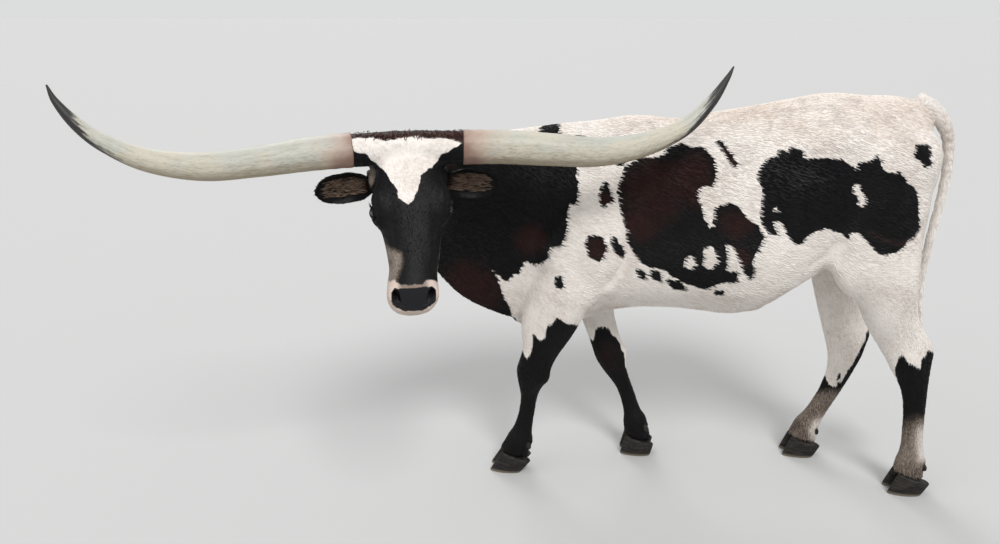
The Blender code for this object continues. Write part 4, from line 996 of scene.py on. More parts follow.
cone = tree.node("GeometryNodeMeshCone", {"fill_type": "NGON"},
                 {"Vertices": 3, "Side Segments": 2, "Radius Top": 0.0, "Radius Bottom": 1.0, "Depth": 1.0})
cone_x = tree.node("ShaderNodeSeparateXYZ", {}, {0: tree.node("GeometryNodeInputPosition")})
cone_y, along = cone_x.other(1), cone_x.other(2)
bulge = 1.0 + along * (1.0 - along) * 2.2
arch = along * (1.0 - along) * 4.0
bladed = tree.node("ShaderNodeCombineXYZ", {}, {
    "X": along * given["Length"],
    "Y": cone_y * bulge * given["Width"] * 0.5,
    "Z": cone_x * bulge * given["Thickness"] + arch * given["Lift"] + along * given["Lift"] * 0.35})
blade = tree.node("GeometryNodeSetPosition", {}, {"Geometry": cone, "Position": bladed})
blade = tree.node("GeometryNodeStoreNamedAttribute", {"data_type": "FLOAT_VECTOR"}, {
    "Geometry": blade, "Name": "blade", "Value": tree.node("ShaderNodeCombineXYZ", {}, {
        "X": along, "Y": cone_y * 0.5 + 0.5})})
turn = tree.node("FunctionNodeAlignRotationToVector", {"axis": "Z"}, {"Vector": upward})
turn = tree.node("FunctionNodeAlignRotationToVector", {"axis": "X", "pivot_axis": "Z"},
                 {"Rotation": turn, "Vector": named(tree, "lie", "FLOAT_VECTOR")})
tilt = tree.node("FunctionNodeRandomValue", {"data_type": "FLOAT_VECTOR"},
                 {"Min": TUFT_TILT_LEAST, "Max": TUFT_TILT_MOST, "Seed": 4})
tilt = tree.node("FunctionNodeEulerToRotation", {}, {"Euler": tilt})
turn = tree.node("FunctionNodeRotateRotation", {"rotation_space": "LOCAL"},
                 {"Rotation": turn, "Rotate By": tilt})
vary = tree.node("FunctionNodeRandomValue", {"data_type": "FLOAT"}, {2: 0.75, 3: 1.2, "Seed": 7}, out=1)
tufts = tree.node("GeometryNodeInstanceOnPoints", {}, {"Points": roots, "Instance": blade, "Rotation": turn,
                                                       "Scale": vary * named(tree, "size")})
tufts = tree.node("GeometryNodeRealizeInstances", {}, {"Geometry": tufts})
tufts = tree.node("GeometryNodeSetMaterial", {}, {"Geometry": tufts, "Material": given["Finish"]})
tree.tree.links.new(tufts.socket, leave.inputs[0])
tuft_group = tree.tree


def baked_at(mesh, spots, blades):
    """Gives the mesh its OFBake map: each tuft a small patch at its root's place on the unwrap."""
    layer = mesh.uv_layers.new(name="OFBake")
    corners = np.empty(len(mesh.loops), int)
    mesh.loops.foreach_get("vertex_index", corners)
    flat = (spots + (blades - 0.5) * OFBAKE_PATCH)[corners]
    layer.data.foreach_set("uv", np.clip(flat, 0.0, 1.0).ravel())
    mesh.uv_layers.active = layer


def column(mesh, name):
    """A stored vector attribute of a mesh as an array."""
    flat = np.empty(len(mesh.vertices) * 3)
    mesh.attributes[name].data.foreach_get("vector", flat)
    return flat.reshape(-1, 3)


faces_part = np.array([np.bincount(part[list(face.vertices)]).argmax() for face in hide.polygons])
centres = np.array([face.center[:] for face in hide.polygons]) - np.array(SHIFT)
near_side = centres[:, 1] < 0
flanks = (("near", near_side), ("far", ~near_side))
ahead, behind = centres[:, 0] < SHOULDER_BACK, centres[:, 0] >= HIP_FRONT
coat_regions = {}
for flank, ours in flanks:
    for region, here in (("shoulder", ahead), ("ribs", ~ahead & ~behind), ("hip", behind)):
        coat_regions[f"{region}_{flank}"] = (faces_part == 0) & ours & here
for flank, ours in flanks:
    coat_regions["neck_" + flank] = (faces_part == 1) & ours
coat_regions |= {"head": faces_part == 2, "forelegs": (faces_part == 3) | (faces_part == 4),
                 "hind_leg_near": faces_part == 5, "hind_leg_far": faces_part == 6}


def furred(base, region, seed):
    """A coat piece grown over a base object that keeps its own markings, lie and spots."""
    values = {"Density": TUFTS_PER_SQUARE_METRE, "Seed": seed, "Length": TUFT_LENGTH, "Width": TUFT_WIDTH,
              "Thickness": TUFT_THICKNESS, "Lift": TUFT_LIFT, "Finish": coat}
    mesh = grown(base, tuft_group, values, "coat_" + region)
    baked_at(mesh, column(mesh, "spot")[:, :2], column(mesh, "blade")[:, :2])
    shown("coat_" + region, mesh, "coat")


for number, (region, ours) in enumerate(coat_regions.items()):
    bm = bmesh.new()
    bm.from_mesh(hide)
    bm.faces.ensure_lookup_table()
    bmesh.ops.delete(bm, geom=[bm.faces[k] for k in np.flatnonzero(~ours)], context="FACES")
    patch_mesh = bpy.data.meshes.new("patch")
    bm.to_mesh(patch_mesh)
    bm.free()
    base = placed("patch", patch_mesh)
    furred(base, region, COAT_SEED + number)
    bpy.data.objects.remove(base)

# The horns are keratin grown over a bone core: round, ringed where they leave the skull and
# pink there, ivory with grey-green weathering along the grain, and charcoal at the tips.
# Shade is painted darker on their undersides.
HORN_PLACES = {                      # out from the poll, forward, up, radius
    "left": ((0.160, 0, -0.034, 0.051), (0.280, 0.012, -0.036, 0.050), (0.420, 0.025, -0.046, 0.0485),
             (0.560, 0.030, -0.056, 0.044), (0.700, 0.026, -0.040, 0.0365), (0.830, 0.014, 0.006, 0.027),
             (0.920, 0.002, 0.080, 0.0182), (0.975, -0.008, 0.150, 0.0090), (0.998, -0.012, 0.188, 0.0022)),
    "right": ((0.160, 0, -0.034, 0.050), (0.280, 0.012, -0.040, 0.048), (0.420, 0.025, -0.054, 0.043),
              (0.560, 0.030, -0.062, 0.039), (0.700, 0.026, -0.040, 0.032), (0.810, 0.014, 0.008, 0.024),
              (0.880, 0.002, 0.060, 0.0172), (0.930, -0.008, 0.120, 0.0095), (0.950, -0.012, 0.165, 0.0024)),
}
HORN_STEPS = 240
HORN_AROUND = 52
HORN_IVORY = (0.48, 0.45, 0.37)
HORN_PINK = (0.37, 0.25, 0.20)
HORN_SKIN = (0.16, 0.078, 0.056)
HORN_GREEN = (0.30, 0.29, 0.215)
HORN_BLUE = (0.40, 0.43, 0.415)
# Dark streaks along the grain, and painted shade on the horn's underside.
HORN_STREAK_AND_UNDERSIDE_SHADE = (0.235, 0.175, 0.105)
HORN_CHARCOAL = (0.016, 0.015, 0.014)


def through(rows, count):
    """A smooth run of count rows through the given ones (Catmull-Rom)."""
    rows = np.array(rows, float)
    rows = np.vstack((2 * rows[0] - rows[1], rows, 2 * rows[-1] - rows[-2]))
    spans = len(rows) - 3
    t = np.linspace(0.0, spans, count)
    k = np.minimum(t.astype(int), spans - 1)
    f = (t - k)[:, None]
    a, b, c, d = rows[k], rows[k + 1], rows[k + 2], rows[k + 3]
    return 0.5 * (2 * b + (c - a) * f + (2 * a - 5 * b + 4 * c - d) * f ** 2
                  + (3 * b - a - 3 * c + d) * f ** 3)


def sleeve(name, centres, radii, around, first_side):
    """A closed tube through the centres; radii holds one radius for each ring and turn."""
    run = np.gradient(centres, axis=0)
    run /= np.linalg.norm(run, axis=1)[:, None]
    side = np.zeros_like(centres)
    side[0] = first_side
    for k in range(len(centres)):
        side[k] = side[max(k - 1, 0)] - run[k] * (side[max(k - 1, 0)] @ run[k])
        side[k] /= np.linalg.norm(side[k])
    up = np.cross(run, side)
    turn = np.arange(around) / around * 2 * math.pi
    rings = (centres[:, None] + radii[..., None] * (np.cos(turn)[None, :, None] * side[:, None]
                                                   + np.sin(turn)[None, :, None] * up[:, None]))
    count = len(centres)
    places = np.vstack((rings.reshape(-1, 3), centres[:1], centres[-1:]))
    faces = [(k * around + j, k * around + (j + 1) % around, (k + 1) * around + (j + 1) % around,
              (k + 1) * around + j) for k in range(count - 1) for j in range(around)]
    last = (count - 1) * around
    faces += [(count * around, (j + 1) % around, j) for j in range(around)]
    faces += [(count * around + 1, last + j, last + (j + 1) % around) for j in range(around)]
    mesh = bpy.data.meshes.new(name)
    mesh.from_pydata(places.tolist(), [], faces)
    mesh.shade_smooth()
    shares = np.append(np.repeat(np.linspace(0, 1, count), around), (0.0, 1.0))
    turns = np.append(np.tile(turn, count), (0.0, 0.0))
    return mesh, shares, turns


horn_finish, tree, shader = finish("horn", Specular_IOR_Level=0.45)
along, under = tree.stored("along"), tree.stored("under")
fibre = tree.stored("fibre", "Vector")
streak = tree.noise(fibre, 30.0, 4.0, 0.65)
fine = tree.noise(fibre, 110.0, 3.0, 0.7)
cloud = tree.noise(tree.stored("root", "Vector"), 9.0, 3.0)
colour = tree.blend(tree.step(streak * 0.6 + cloud * 0.5, 0.50, 0.72) * 0.42, HORN_IVORY, HORN_GREEN)
colour = tree.blend(tree.step(cloud - under * 0.10, 0.48, 0.66) * 0.50, colour, HORN_BLUE)
# Painted shade: darker where the horn faces down, broken by the grain.
colour = tree.blend(tree.step(under + (streak - 0.5) * 0.8, 0.25, 0.95) * 0.7, colour, HORN_STREAK_AND_UNDERSIDE_SHADE)
colour = tree.blend(tree.step(fine + under * 0.08, 0.47, 0.66) * 0.62, colour, HORN_STREAK_AND_UNDERSIDE_SHADE)
colour = tree.blend(tree.step(streak - under * 0.03, 0.56, 0.70) * 0.35, colour, HORN_GREEN)
base = 1.0 - tree.step(along + (cloud - 0.5) * 0.22 + (streak - 0.5) * 0.12, 0.0, 0.15)
colour = tree.blend(base * 0.8, colour, HORN_PINK)
edge = 1.0 - tree.step(along - under * 0.035 + (cloud - 0.5) * 0.16 + (fine - 0.5) * 0.06, 0.0, 0.075)
colour = tree.blend(edge * 0.75, colour, HORN_SKIN)
tip = along + under * 0.16 + (streak - 0.5) * 0.28 + (fine - 0.5) * 0.12
colour = tree.blend(tree.step(tip, 0.61, 0.71), colour, HORN_CHARCOAL)
bump = tree.bump(0.45, 0.0012, fine * 0.7 + streak * 0.5)
painted(tree, shader, Base_Color=colour, Roughness=0.36 + fine * 0.30, Normal=bump)
for name, side in SIDES:
    rows = through(HORN_PLACES[name], HORN_STEPS)
    out = np.array(head_left) * side
    centres = (np.array(POLL) + rows[:, :1] * out + rows[:, 1:2] * np.array(FACING)
               + rows[:, 2:3] * np.array((0, 0, 1.0)))
    share = np.linspace(0, 1, HORN_STEPS)[:, None]
    turn = np.arange(HORN_AROUND)[None] / HORN_AROUND * 2 * math.pi
    rings = np.sin(share * 150.0 + 0.6 * np.sin(turn)) * 0.0007 * np.exp(-share * 9.0)
    ridges = 0.0005 * np.sin(turn * 7 + share * 4.0) * (1.0 - share) + 0.0003 * np.sin(turn * 13)
    thick = rows[:, 3:4]
    radii = np.maximum(thick, 0.0012) * (1.0 + 0 * turn) + (rings + ridges) * rise(thick, 0.004, 0.02)
    mesh, share, turn = sleeve("horn_" + name, centres, radii, HORN_AROUND, (0.0, 0.0, 1.0))
    kept(mesh, "along", share)
    # How far each point faces down, which sets the painted shade on the underside.
    kept(mesh, "under", -normals_of(mesh)[:, 2])
    kept(mesh, "fibre", np.stack((np.cos(turn), np.sin(turn), share * 3.2), axis=1) * 0.16)
    kept(mesh, "root", points_of(mesh))
    mesh.materials.append(horn_finish)
    shown("horn_" + name, mesh, "horn", "horn_" + name)

# The tail hangs from the rump in loose skin with short hair and ends in the switch, long coarse
# hair that hangs in locks round the last bones.
TAIL_PLACES = ((0.600, 0, 1.328, 0.040), (0.645, 0, 1.312, 0.033), (0.682, 0, 1.275, 0.026),
               (0.706, 0, 1.225, 0.0205), (0.714, 0, 1.165, 0.0175), (0.714, 0, 1.090, 0.016),
               (0.702, 0, 0.987, 0.015), (0.684, 0, 0.878, 0.014), (0.670, 0, 0.770, 0.013),
               (0.668, 0, 0.666, 0.0125), (0.676, 0.004, 0.560, 0.012), (0.684, 0.008, 0.500, 0.009))
TAIL_STEPS = 170
TAIL_AROUND = 24
TAIL_SEED = 41
TAIL_TUFT_SIZE = 0.72
TAIL_TUFT_GAIN = 1.5
SWITCH_TOP = (0.678, 0.005, 0.548)
SWITCH_BOTTOM = 0.222
SWITCH_CORE = 0.009                  # the locks leave the tail this far from its middle
SWITCH_LOCKS = 420
SWITCH_WHITE = (0.70, 0.63, 0.53)
SWITCH_BROWN = (0.26, 0.18, 0.11)

rows = through(TAIL_PLACES, TAIL_STEPS)
centres = rows[:, :3] + np.array(SHIFT)
share = np.linspace(0, 1, TAIL_STEPS)[:, None]
turn = np.arange(TAIL_AROUND)[None] / TAIL_AROUND * 2 * math.pi
radii = rows[:, 3:4] - 0.0015 + 0.0008 * np.sin(share * 120.0) * rise(share, 0.1, 0.3) + 0 * turn
tail, share, turn = sleeve("tail", centres, radii, TAIL_AROUND, (0.0, 1.0, 0.0))
plainly_marked(tail)
run = np.gradient(centres, axis=0)
run /= np.linalg.norm(run, axis=1)[:, None]
kept(tail, "lie", np.vstack((np.repeat(run, TAIL_AROUND, axis=0), run[:1], run[-1:])))
kept(tail, "size", np.full(len(share), TAIL_TUFT_SIZE))
kept(tail, "furred", np.full(len(share), TAIL_TUFT_GAIN))
kept(tail, "spot", np.column_stack((turn / (2 * math.pi), share, 0 * share)) * 0.98 + 0.01)
tail.materials.append(coat)
tail_piece = shown("tail", tail, "coat", "tail")
furred(tail_piece, "tail", TAIL_SEED)


def turned_outward(mesh):
    """Turns the faces of a closed mesh outwards and shades it smooth."""
    bm = bmesh.new()
    bm.from_mesh(mesh)
    bmesh.ops.recalc_face_normals(bm, faces=bm.faces)
    bm.to_mesh(mesh)
    bm.free()
    mesh.shade_smooth()


def locks(name, roots, tips, bows, widths, flats, spots, steps=6, thin=0.4):
    """Long locks, each a closed tapering blade bowed between its root and its tip."""
    count = len(roots)
    t = np.linspace(0.0, 1.0, steps + 1)[:, None, None]
    centre = roots * (1 - t) + tips * t + bows * np.sin(math.pi * t)
    run = np.gradient(centre, axis=0)
    run /= np.linalg.norm(run, axis=2, keepdims=True) + 1e-12
    side = np.cross(run, flats)
    side /= np.linalg.norm(side, axis=2, keepdims=True) + 1e-12
    up = np.cross(side, run)
    wide = np.asarray(widths)[None, :, None] * np.minimum(1.0, 0.55 + 1.6 * t) * (1.0 - t ** 2.4)
    turn = np.array((0.0, 2.0, 4.0)) * math.pi / 3
    ring = (centre[:-1, :, None] + wide[:-1, :, None] * (np.cos(turn)[:, None] * side[:-1, :, None]
                                                         + thin * np.sin(turn)[:, None] * up[:-1, :, None]))
    places = np.concatenate((ring.transpose(1, 0, 2, 3).reshape(count, -1, 3), centre[-1][:, None]), axis=1)
    each = steps * 3 + 1
    shape = [(2, 1, 0)]
    for k in range(steps - 1):
        shape += [(k * 3 + j, k * 3 + (j + 1) % 3, k * 3 + 3 + (j + 1) % 3, k * 3 + 3 + j) for j in range(3)]
    shape += [(steps * 3 - 3 + j, steps * 3 - 3 + (j + 1) % 3, steps * 3) for j in range(3)]
    faces = [tuple(each * n + v for v in face) for n in range(count) for face in shape]
    mesh = bpy.data.meshes.new(name)
    mesh.from_pydata(places.reshape(-1, 3).tolist(), [], faces)
    turned_outward(mesh)
    along = np.append(np.repeat(np.arange(steps) / steps, 3), 1.0)
    across = np.append(np.tile((0.0, 0.5, 1.0), steps), 0.5)
    kept(mesh, "along", np.tile(along, count))
    kept(mesh, "pick", np.repeat(np.random.default_rng(3).random(count), each))
    blades = np.stack((np.tile(along, count), np.tile(across, count)), axis=1)
    baked_at(mesh, np.repeat(spots, each, axis=0), blades)
    return mesh


def hair_finish(name, root, tip, odd, rough=0.5):
    """Long hair: darker at the root than at the tip, with some locks of another shade."""
    made, tree, shader = finish(name, Specular_IOR_Level=0.4)
    place = tree.node("ShaderNodeTexCoord", out=3)
    strand = tree.noise(place, 260.0, 2.0, 0.6, (1, 1, 0.1))
    colour = tree.blend(tree.step(tree.stored("along") + (strand - 0.5) * 0.5, 0.0, 0.9), root, tip)
    colour = tree.blend(tree.step(tree.stored("pick") + (strand - 0.5) * 0.4, 0.62, 0.95), colour, odd)
    bump = tree.bump(0.6, 0.001, strand)
    painted(tree, shader, Base_Color=colour, Roughness=rough + strand * 0.2, Normal=bump)
    return made


random = np.random.default_rng(21)
deep = random.random(SWITCH_LOCKS) ** 0.8
turn = random.random(SWITCH_LOCKS) * 2 * math.pi
outward = np.stack((np.cos(turn), np.sin(turn), np.zeros(SWITCH_LOCKS)), axis=1)
top = np.array(SWITCH_TOP) + np.array(SHIFT)
drop = top[2] - SWITCH_BOTTOM
roots = top + np.array((0.006, 0.003, -0.42 * drop)) * deep[:, None] + outward * SWITCH_CORE
reach = drop * (0.40 + 0.24 * random.random(SWITCH_LOCKS))
low = np.maximum(roots[:, 2] - reach, SWITCH_BOTTOM + 0.045 * random.random(SWITCH_LOCKS) ** 2)
spread = (0.010 + 0.016 * random.random(SWITCH_LOCKS)) * (0.55 + 0.75 * deep)
tips = np.column_stack((np.tile(top[:2] + (0.008, 0.004), (SWITCH_LOCKS, 1)), low))
tips += outward * spread[:, None]
tips[:, :2] += random.normal(0, 0.004, (SWITCH_LOCKS, 2))
bows = outward * (0.012 * random.random(SWITCH_LOCKS))[:, None]
widths = 0.0028 + 0.0022 * random.random(SWITCH_LOCKS)
spots = np.stack((turn / (2 * math.pi), deep), axis=1) * 0.98 + 0.01
switch = locks("tail_switch", roots, tips, bows, widths, outward, spots, steps=9)
switch.materials.append(hair_finish("switch_hair", SWITCH_BROWN, SWITCH_WHITE, SWITCH_BROWN))
shown("tail_switch", switch, "switch_hair", "tail_switch")

# The ears stand out level under the horns: thin cupped leaves of skin and gristle, furred black
# and brown outside, with long soft hair inside that spills over the rims.
EAR_BASE = (0.118, 0.098, -0.112)
EAR_LENGTH = 0.165
EAR_WIDTH = 0.098
EAR_WALL = 0.0032
EAR_ROWS = 60
EAR_COLUMNS = 40
EAR_SEED = 51
EAR_TUFT_SIZE = 0.55
EAR_TUFT_GAIN = 3.0                  # outside; the inner face has less, as the long hair covers it
EAR_HAIRS = 460
EAR_HAIR_WIDTH = 0.0011
EAR_HAIR_ROOT = (0.060, 0.034, 0.022)
EAR_HAIR_TIP = (0.27, 0.185, 0.130)
EAR_HAIR_DARK = (0.020, 0.012, 0.010)

ear_hair = hair_finish("ear_hair", EAR_HAIR_ROOT, EAR_HAIR_TIP, EAR_HAIR_DARK)


def ear_axes(side):
    """The ear's root, and its directions: out along it, across it, and what it faces."""
    out = (head_left * side + FACING * 0.10 - Vector((0, 0, 0.10))).normalized()
    facing = FACING * 0.93 + Vector((0, 0, -0.25)) - head_left * side * 0.10
    facing = (facing - out * facing.dot(out)).normalized()
    root = Vector(from_head(np.array((side * EAR_BASE[0], EAR_BASE[1], EAR_BASE[2]))))
    return np.array(root), np.array(out), np.array(facing.cross(out) * side), np.array(facing)


def ear_place(side, far, turn_share, inward=0.0):
    """A place on the ear's leaf, far along it and turn_share across, -1 to 1, moved into its cup."""
    root, out, across, facing = ear_axes(side)
    half = EAR_WIDTH / 2 * (0.42 + 0.58 * np.sin(math.pi / 2 * np.minimum(1, far / 0.45)))
    half = half * np.sqrt(np.maximum(1 - np.maximum(0, (far - 0.50) / 0.51) ** 2.9, 0.004))
    curl = math.pi * (0.46 + 0.36 * np.maximum(0, 1 - far / 0.35) ** 1.5 - 0.20 * far ** 2)
    cup = 0.80 - 0.35 * far
    turn = turn_share * curl
    radius = half / np.sin(np.minimum(math.pi / 2, curl))
    bend = 1 - np.cos(turn)
    wave = 0.0012 * np.sin(far * 19.0 + turn_share * 3.0) * np.abs(turn_share)
    radius_in = radius - inward
    return (root + out * (far * EAR_LENGTH - 0.012 - 0.02 * bend * far)[..., None]
            + across * (radius_in * np.sin(turn))[..., None]
            + facing * (radius * cup - radius_in * cup * np.cos(turn) - half * cup * 0.8 + wave)[..., None])


for name, side in SIDES:
    far, across = np.meshgrid(np.linspace(-0.06, 0.995, EAR_ROWS), np.linspace(-1, 1, EAR_COLUMNS),
                              indexing="ij")
    rim = np.sqrt(np.clip(1 - np.abs(across) ** 6, 0.02, 1)) * np.sqrt(np.clip((1.0 - far) * 12, 0.05, 1))
    outer = ear_place(side, far, across, -EAR_WALL / 2 * rim)
    inner = ear_place(side, far, across, EAR_WALL / 2 * rim)
    count = EAR_ROWS * EAR_COLUMNS
    at = np.arange(count).reshape(EAR_ROWS, EAR_COLUMNS)
    faces = []
    for i in range(EAR_ROWS - 1):
        for j in range(EAR_COLUMNS - 1):
            faces.append((at[i, j], at[i, j + 1], at[i + 1, j + 1], at[i + 1, j]))
            faces.append(tuple(count + v for v in (at[i, j], at[i + 1, j], at[i + 1, j + 1], at[i, j + 1])))
    edge = [*at[:, 0], *at[-1, 1:], *at[-2::-1, -1], *at[0, -2:0:-1]]
    faces += [(one, two, count + two, count + one) for one, two in zip(edge, edge[1:] + edge[:1])]
    mesh = bpy.data.meshes.new("ear_" + name)
    mesh.from_pydata(np.vstack((outer.reshape(-1, 3), inner.reshape(-1, 3))).tolist(), [],
                     [tuple(int(v) for v in face) for face in faces])
    turned_outward(mesh)
    within = np.append(np.zeros(count), np.ones(count))
    edge_share = np.tile(np.maximum(np.abs(across), far).ravel(), 2)
    plainly_marked(mesh, dark=1.0, brown=within * 1.2 * (1.0 - rise(edge_share, 0.35, 0.65)))
    _, out, _, facing = ear_axes(side)
    kept(mesh, "lie", np.tile(out, (2 * count, 1)))
    kept(mesh, "size", np.full(2 * count, EAR_TUFT_SIZE))
    kept(mesh, "furred", EAR_TUFT_GAIN - 2.4 * within)
    kept(mesh, "spot", np.column_stack((np.tile(across.ravel(), 2) * 0.24 + 0.25 + 0.5 * within,
                                        np.tile(far.ravel(), 2) * 0.9 + 0.07, 0 * within)))
    mesh.materials.append(coat)
    piece = shown("ear_" + name, mesh, "coat", "ear_" + name)
    furred(piece, "ear_" + name, EAR_SEED + side)
    random = np.random.default_rng(60 + side)
    far = random.random(EAR_HAIRS) ** 0.9 * 0.70 + 0.04
    across = np.sign(random.random(EAR_HAIRS) - 0.5) * (0.52 - random.random(EAR_HAIRS) * 0.50)
    roots = ear_place(side, far, across * 0.96, EAR_WALL * 0.3)
    middle = ear_place(side, far, across * 0.0)
    toward = middle - roots
    toward /= np.linalg.norm(toward, axis=1)[:, None]
    aim = out * (0.85 + 0.3 * random.random(EAR_HAIRS))[:, None] + toward * 0.22 + facing * 0.22
    aim += random.normal(0, 0.16, (EAR_HAIRS, 3))
    long = (0.020 + 0.026 * random.random(EAR_HAIRS)) * (1.0 - 0.45 * far)
    tips = roots + aim * long[:, None]
    bows = facing * (0.15 * long)[:, None]
    spots = np.stack((across * 0.49 + 0.5, far * 0.98 + 0.01), axis=1)
    hair = locks("hair_ear_" + name, roots, tips, bows, np.full(EAR_HAIRS, EAR_HAIR_WIDTH),
                 np.tile(facing, (EAR_HAIRS, 1)), spots, steps=4)
    hair.materials.append(ear_hair)
    shown("hair_ear_" + name, hair, "coat")

# Tousled reddish hair stands on the poll between the horns and falls over the forehead.
POLL_LOCKS = 1500
POLL_HALF_WIDTH = 0.160
POLL_ROOT = (0.024, 0.010, 0.007)
POLL_TIP = (0.115, 0.040, 0.024)
POLL_DARK = (0.030, 0.016, 0.012)

poll_hair = hair_finish("poll_hair", POLL_ROOT, POLL_TIP, POLL_DARK)
hide_points = points_of(hide)
hide_normals = normals_of(hide)
hide_place = in_head(hide_points)
crest = np.flatnonzero((part < 3) & (hide_place[:, 1] < 0.004) & (hide_place[:, 1] > -0.085)
                       & (np.abs(hide_place[:, 0]) < POLL_HALF_WIDTH) & (hide_normals[:, 2] > 0.45)
                       & (hide_place[:, 2] > -0.12))
random = np.random.default_rng(77)
chosen = crest[random.integers(0, len(crest), POLL_LOCKS)]
roots = hide_points[chosen] + random.normal(0, 0.003, (POLL_LOCKS, 3)) - hide_normals[chosen] * 0.004
side_share = hide_place[chosen, 0] / POLL_HALF_WIDTH
aim = (hide_normals[chosen] * 0.06 + np.array(FACING) * 0.75
       + np.array(head_left) * (side_share * 0.7)[:, None]
       + random.normal(0, 0.22, (POLL_LOCKS, 3)) - np.array((0.0, 0.0, 0.22)))
aim -= hide_normals[chosen] * np.maximum((aim * hide_normals[chosen]).sum(1) + 0.02, 0.0)[:, None]
aim /= np.linalg.norm(aim, axis=1)[:, None]
long = 0.013 + 0.013 * random.random(POLL_LOCKS)
tips = roots + aim * long[:, None]
bows = hide_normals[chosen] * (long * 0.16)[:, None] + random.normal(0, 0.0012, (POLL_LOCKS, 3))
spots = np.stack((side_share * 0.49 + 0.5, random.random(POLL_LOCKS)), axis=1)
hair = locks("hair_poll", roots, tips, bows, 0.0014 + 0.0012 * random.random(POLL_LOCKS),
             hide_normals[chosen], spots, steps=5)
hair.materials.append(poll_hair)
shown("hair_poll", hair, "coat")

# The eyes are dark wet balls with a level oval pupil behind a clear bulging cornea. A thin black
# rim of bare skin runs round each, and lashes stand out from the upper lid.
IRIS_RADIUS = 0.0135
PUPIL = (0.0078, 0.0046)
CORNEA_TURN = math.radians(38.0)
CORNEA_BULGE = 0.0016
EYE_TURNS, EYE_RINGS = 72, 48
RIM_RADIUS = 0.0017
RIM_STEPS = 72
RIM_AROUND = 10
RIM_PROUD = 0.0014                   # how far out of the ball the rim's middle and the lashes' roots are
LASH_PROUD = 0.0022
LASHES = 64
LASH_WIDTH = 0.00042
IRIS_DARK = (0.020, 0.008, 0.004)
IRIS_BROWN = (0.060, 0.026, 0.012)
PUPIL_BLUE = (0.003, 0.004, 0.007)
EYE_WHITE = (0.26, 0.20, 0.17)
RIM_BLACK = (0.006, 0.005, 0.005)
RIM_BROWN = (0.020, 0.015, 0.014)
LASH_SHADES = ((0.006, 0.005, 0.005), (0.012, 0.010, 0.009), (0.010, 0.008, 0.008))

eye_finish, tree, shader = finish("eye", Specular_IOR_Level=0.5, Coat_Weight=1.0, Coat_Roughness=0.03,
                                  Roughness=0.22)
gaze = tree.stored("gaze", "Vector")
level = tree.node("ShaderNodeSeparateXYZ", {}, {0: gaze})
upward, ahead = level.other(1), level.other(2)
reach = (level * level + upward * upward) ** 0.5
rays = tree.noise(tree.vectors("NORMALIZE", gaze), 22.0, 3.0)
colour = tree.blend(tree.step(rays, 0.4, 0.65), IRIS_DARK, IRIS_BROWN)
pupil = ((level / PUPIL[0]) ** 2.0 + (upward / PUPIL[1]) ** 2.0) ** 0.5
colour = tree.blend(1.0 - tree.step(pupil, 0.85, 1.1), colour, PUPIL_BLUE)
white = tree.step(reach, IRIS_RADIUS * 0.96, IRIS_RADIUS * 1.05)
white = white.maths("MAXIMUM", white, 1.0 - tree.step(ahead, 0.0, 0.004))
colour = tree.blend(white, colour, EYE_WHITE)
painted(tree, shader, Base_Color=colour)

rim_finish, tree, shader = finish("lid_rim", Specular_IOR_Level=0.5)
place = tree.node("ShaderNodeTexCoord", out=3)
grain_wire = tree.noise(place, 700.0, 2.0)
bump = tree.bump(0.4, 0.0004, grain_wire)
painted(tree, shader, Base_Color=tree.blend(grain_wire, RIM_BLACK, RIM_BROWN),
        Roughness=0.30 + grain_wire * 0.15, Normal=bump)
lash_finish = hair_finish("lashes", *LASH_SHADES, rough=0.4)

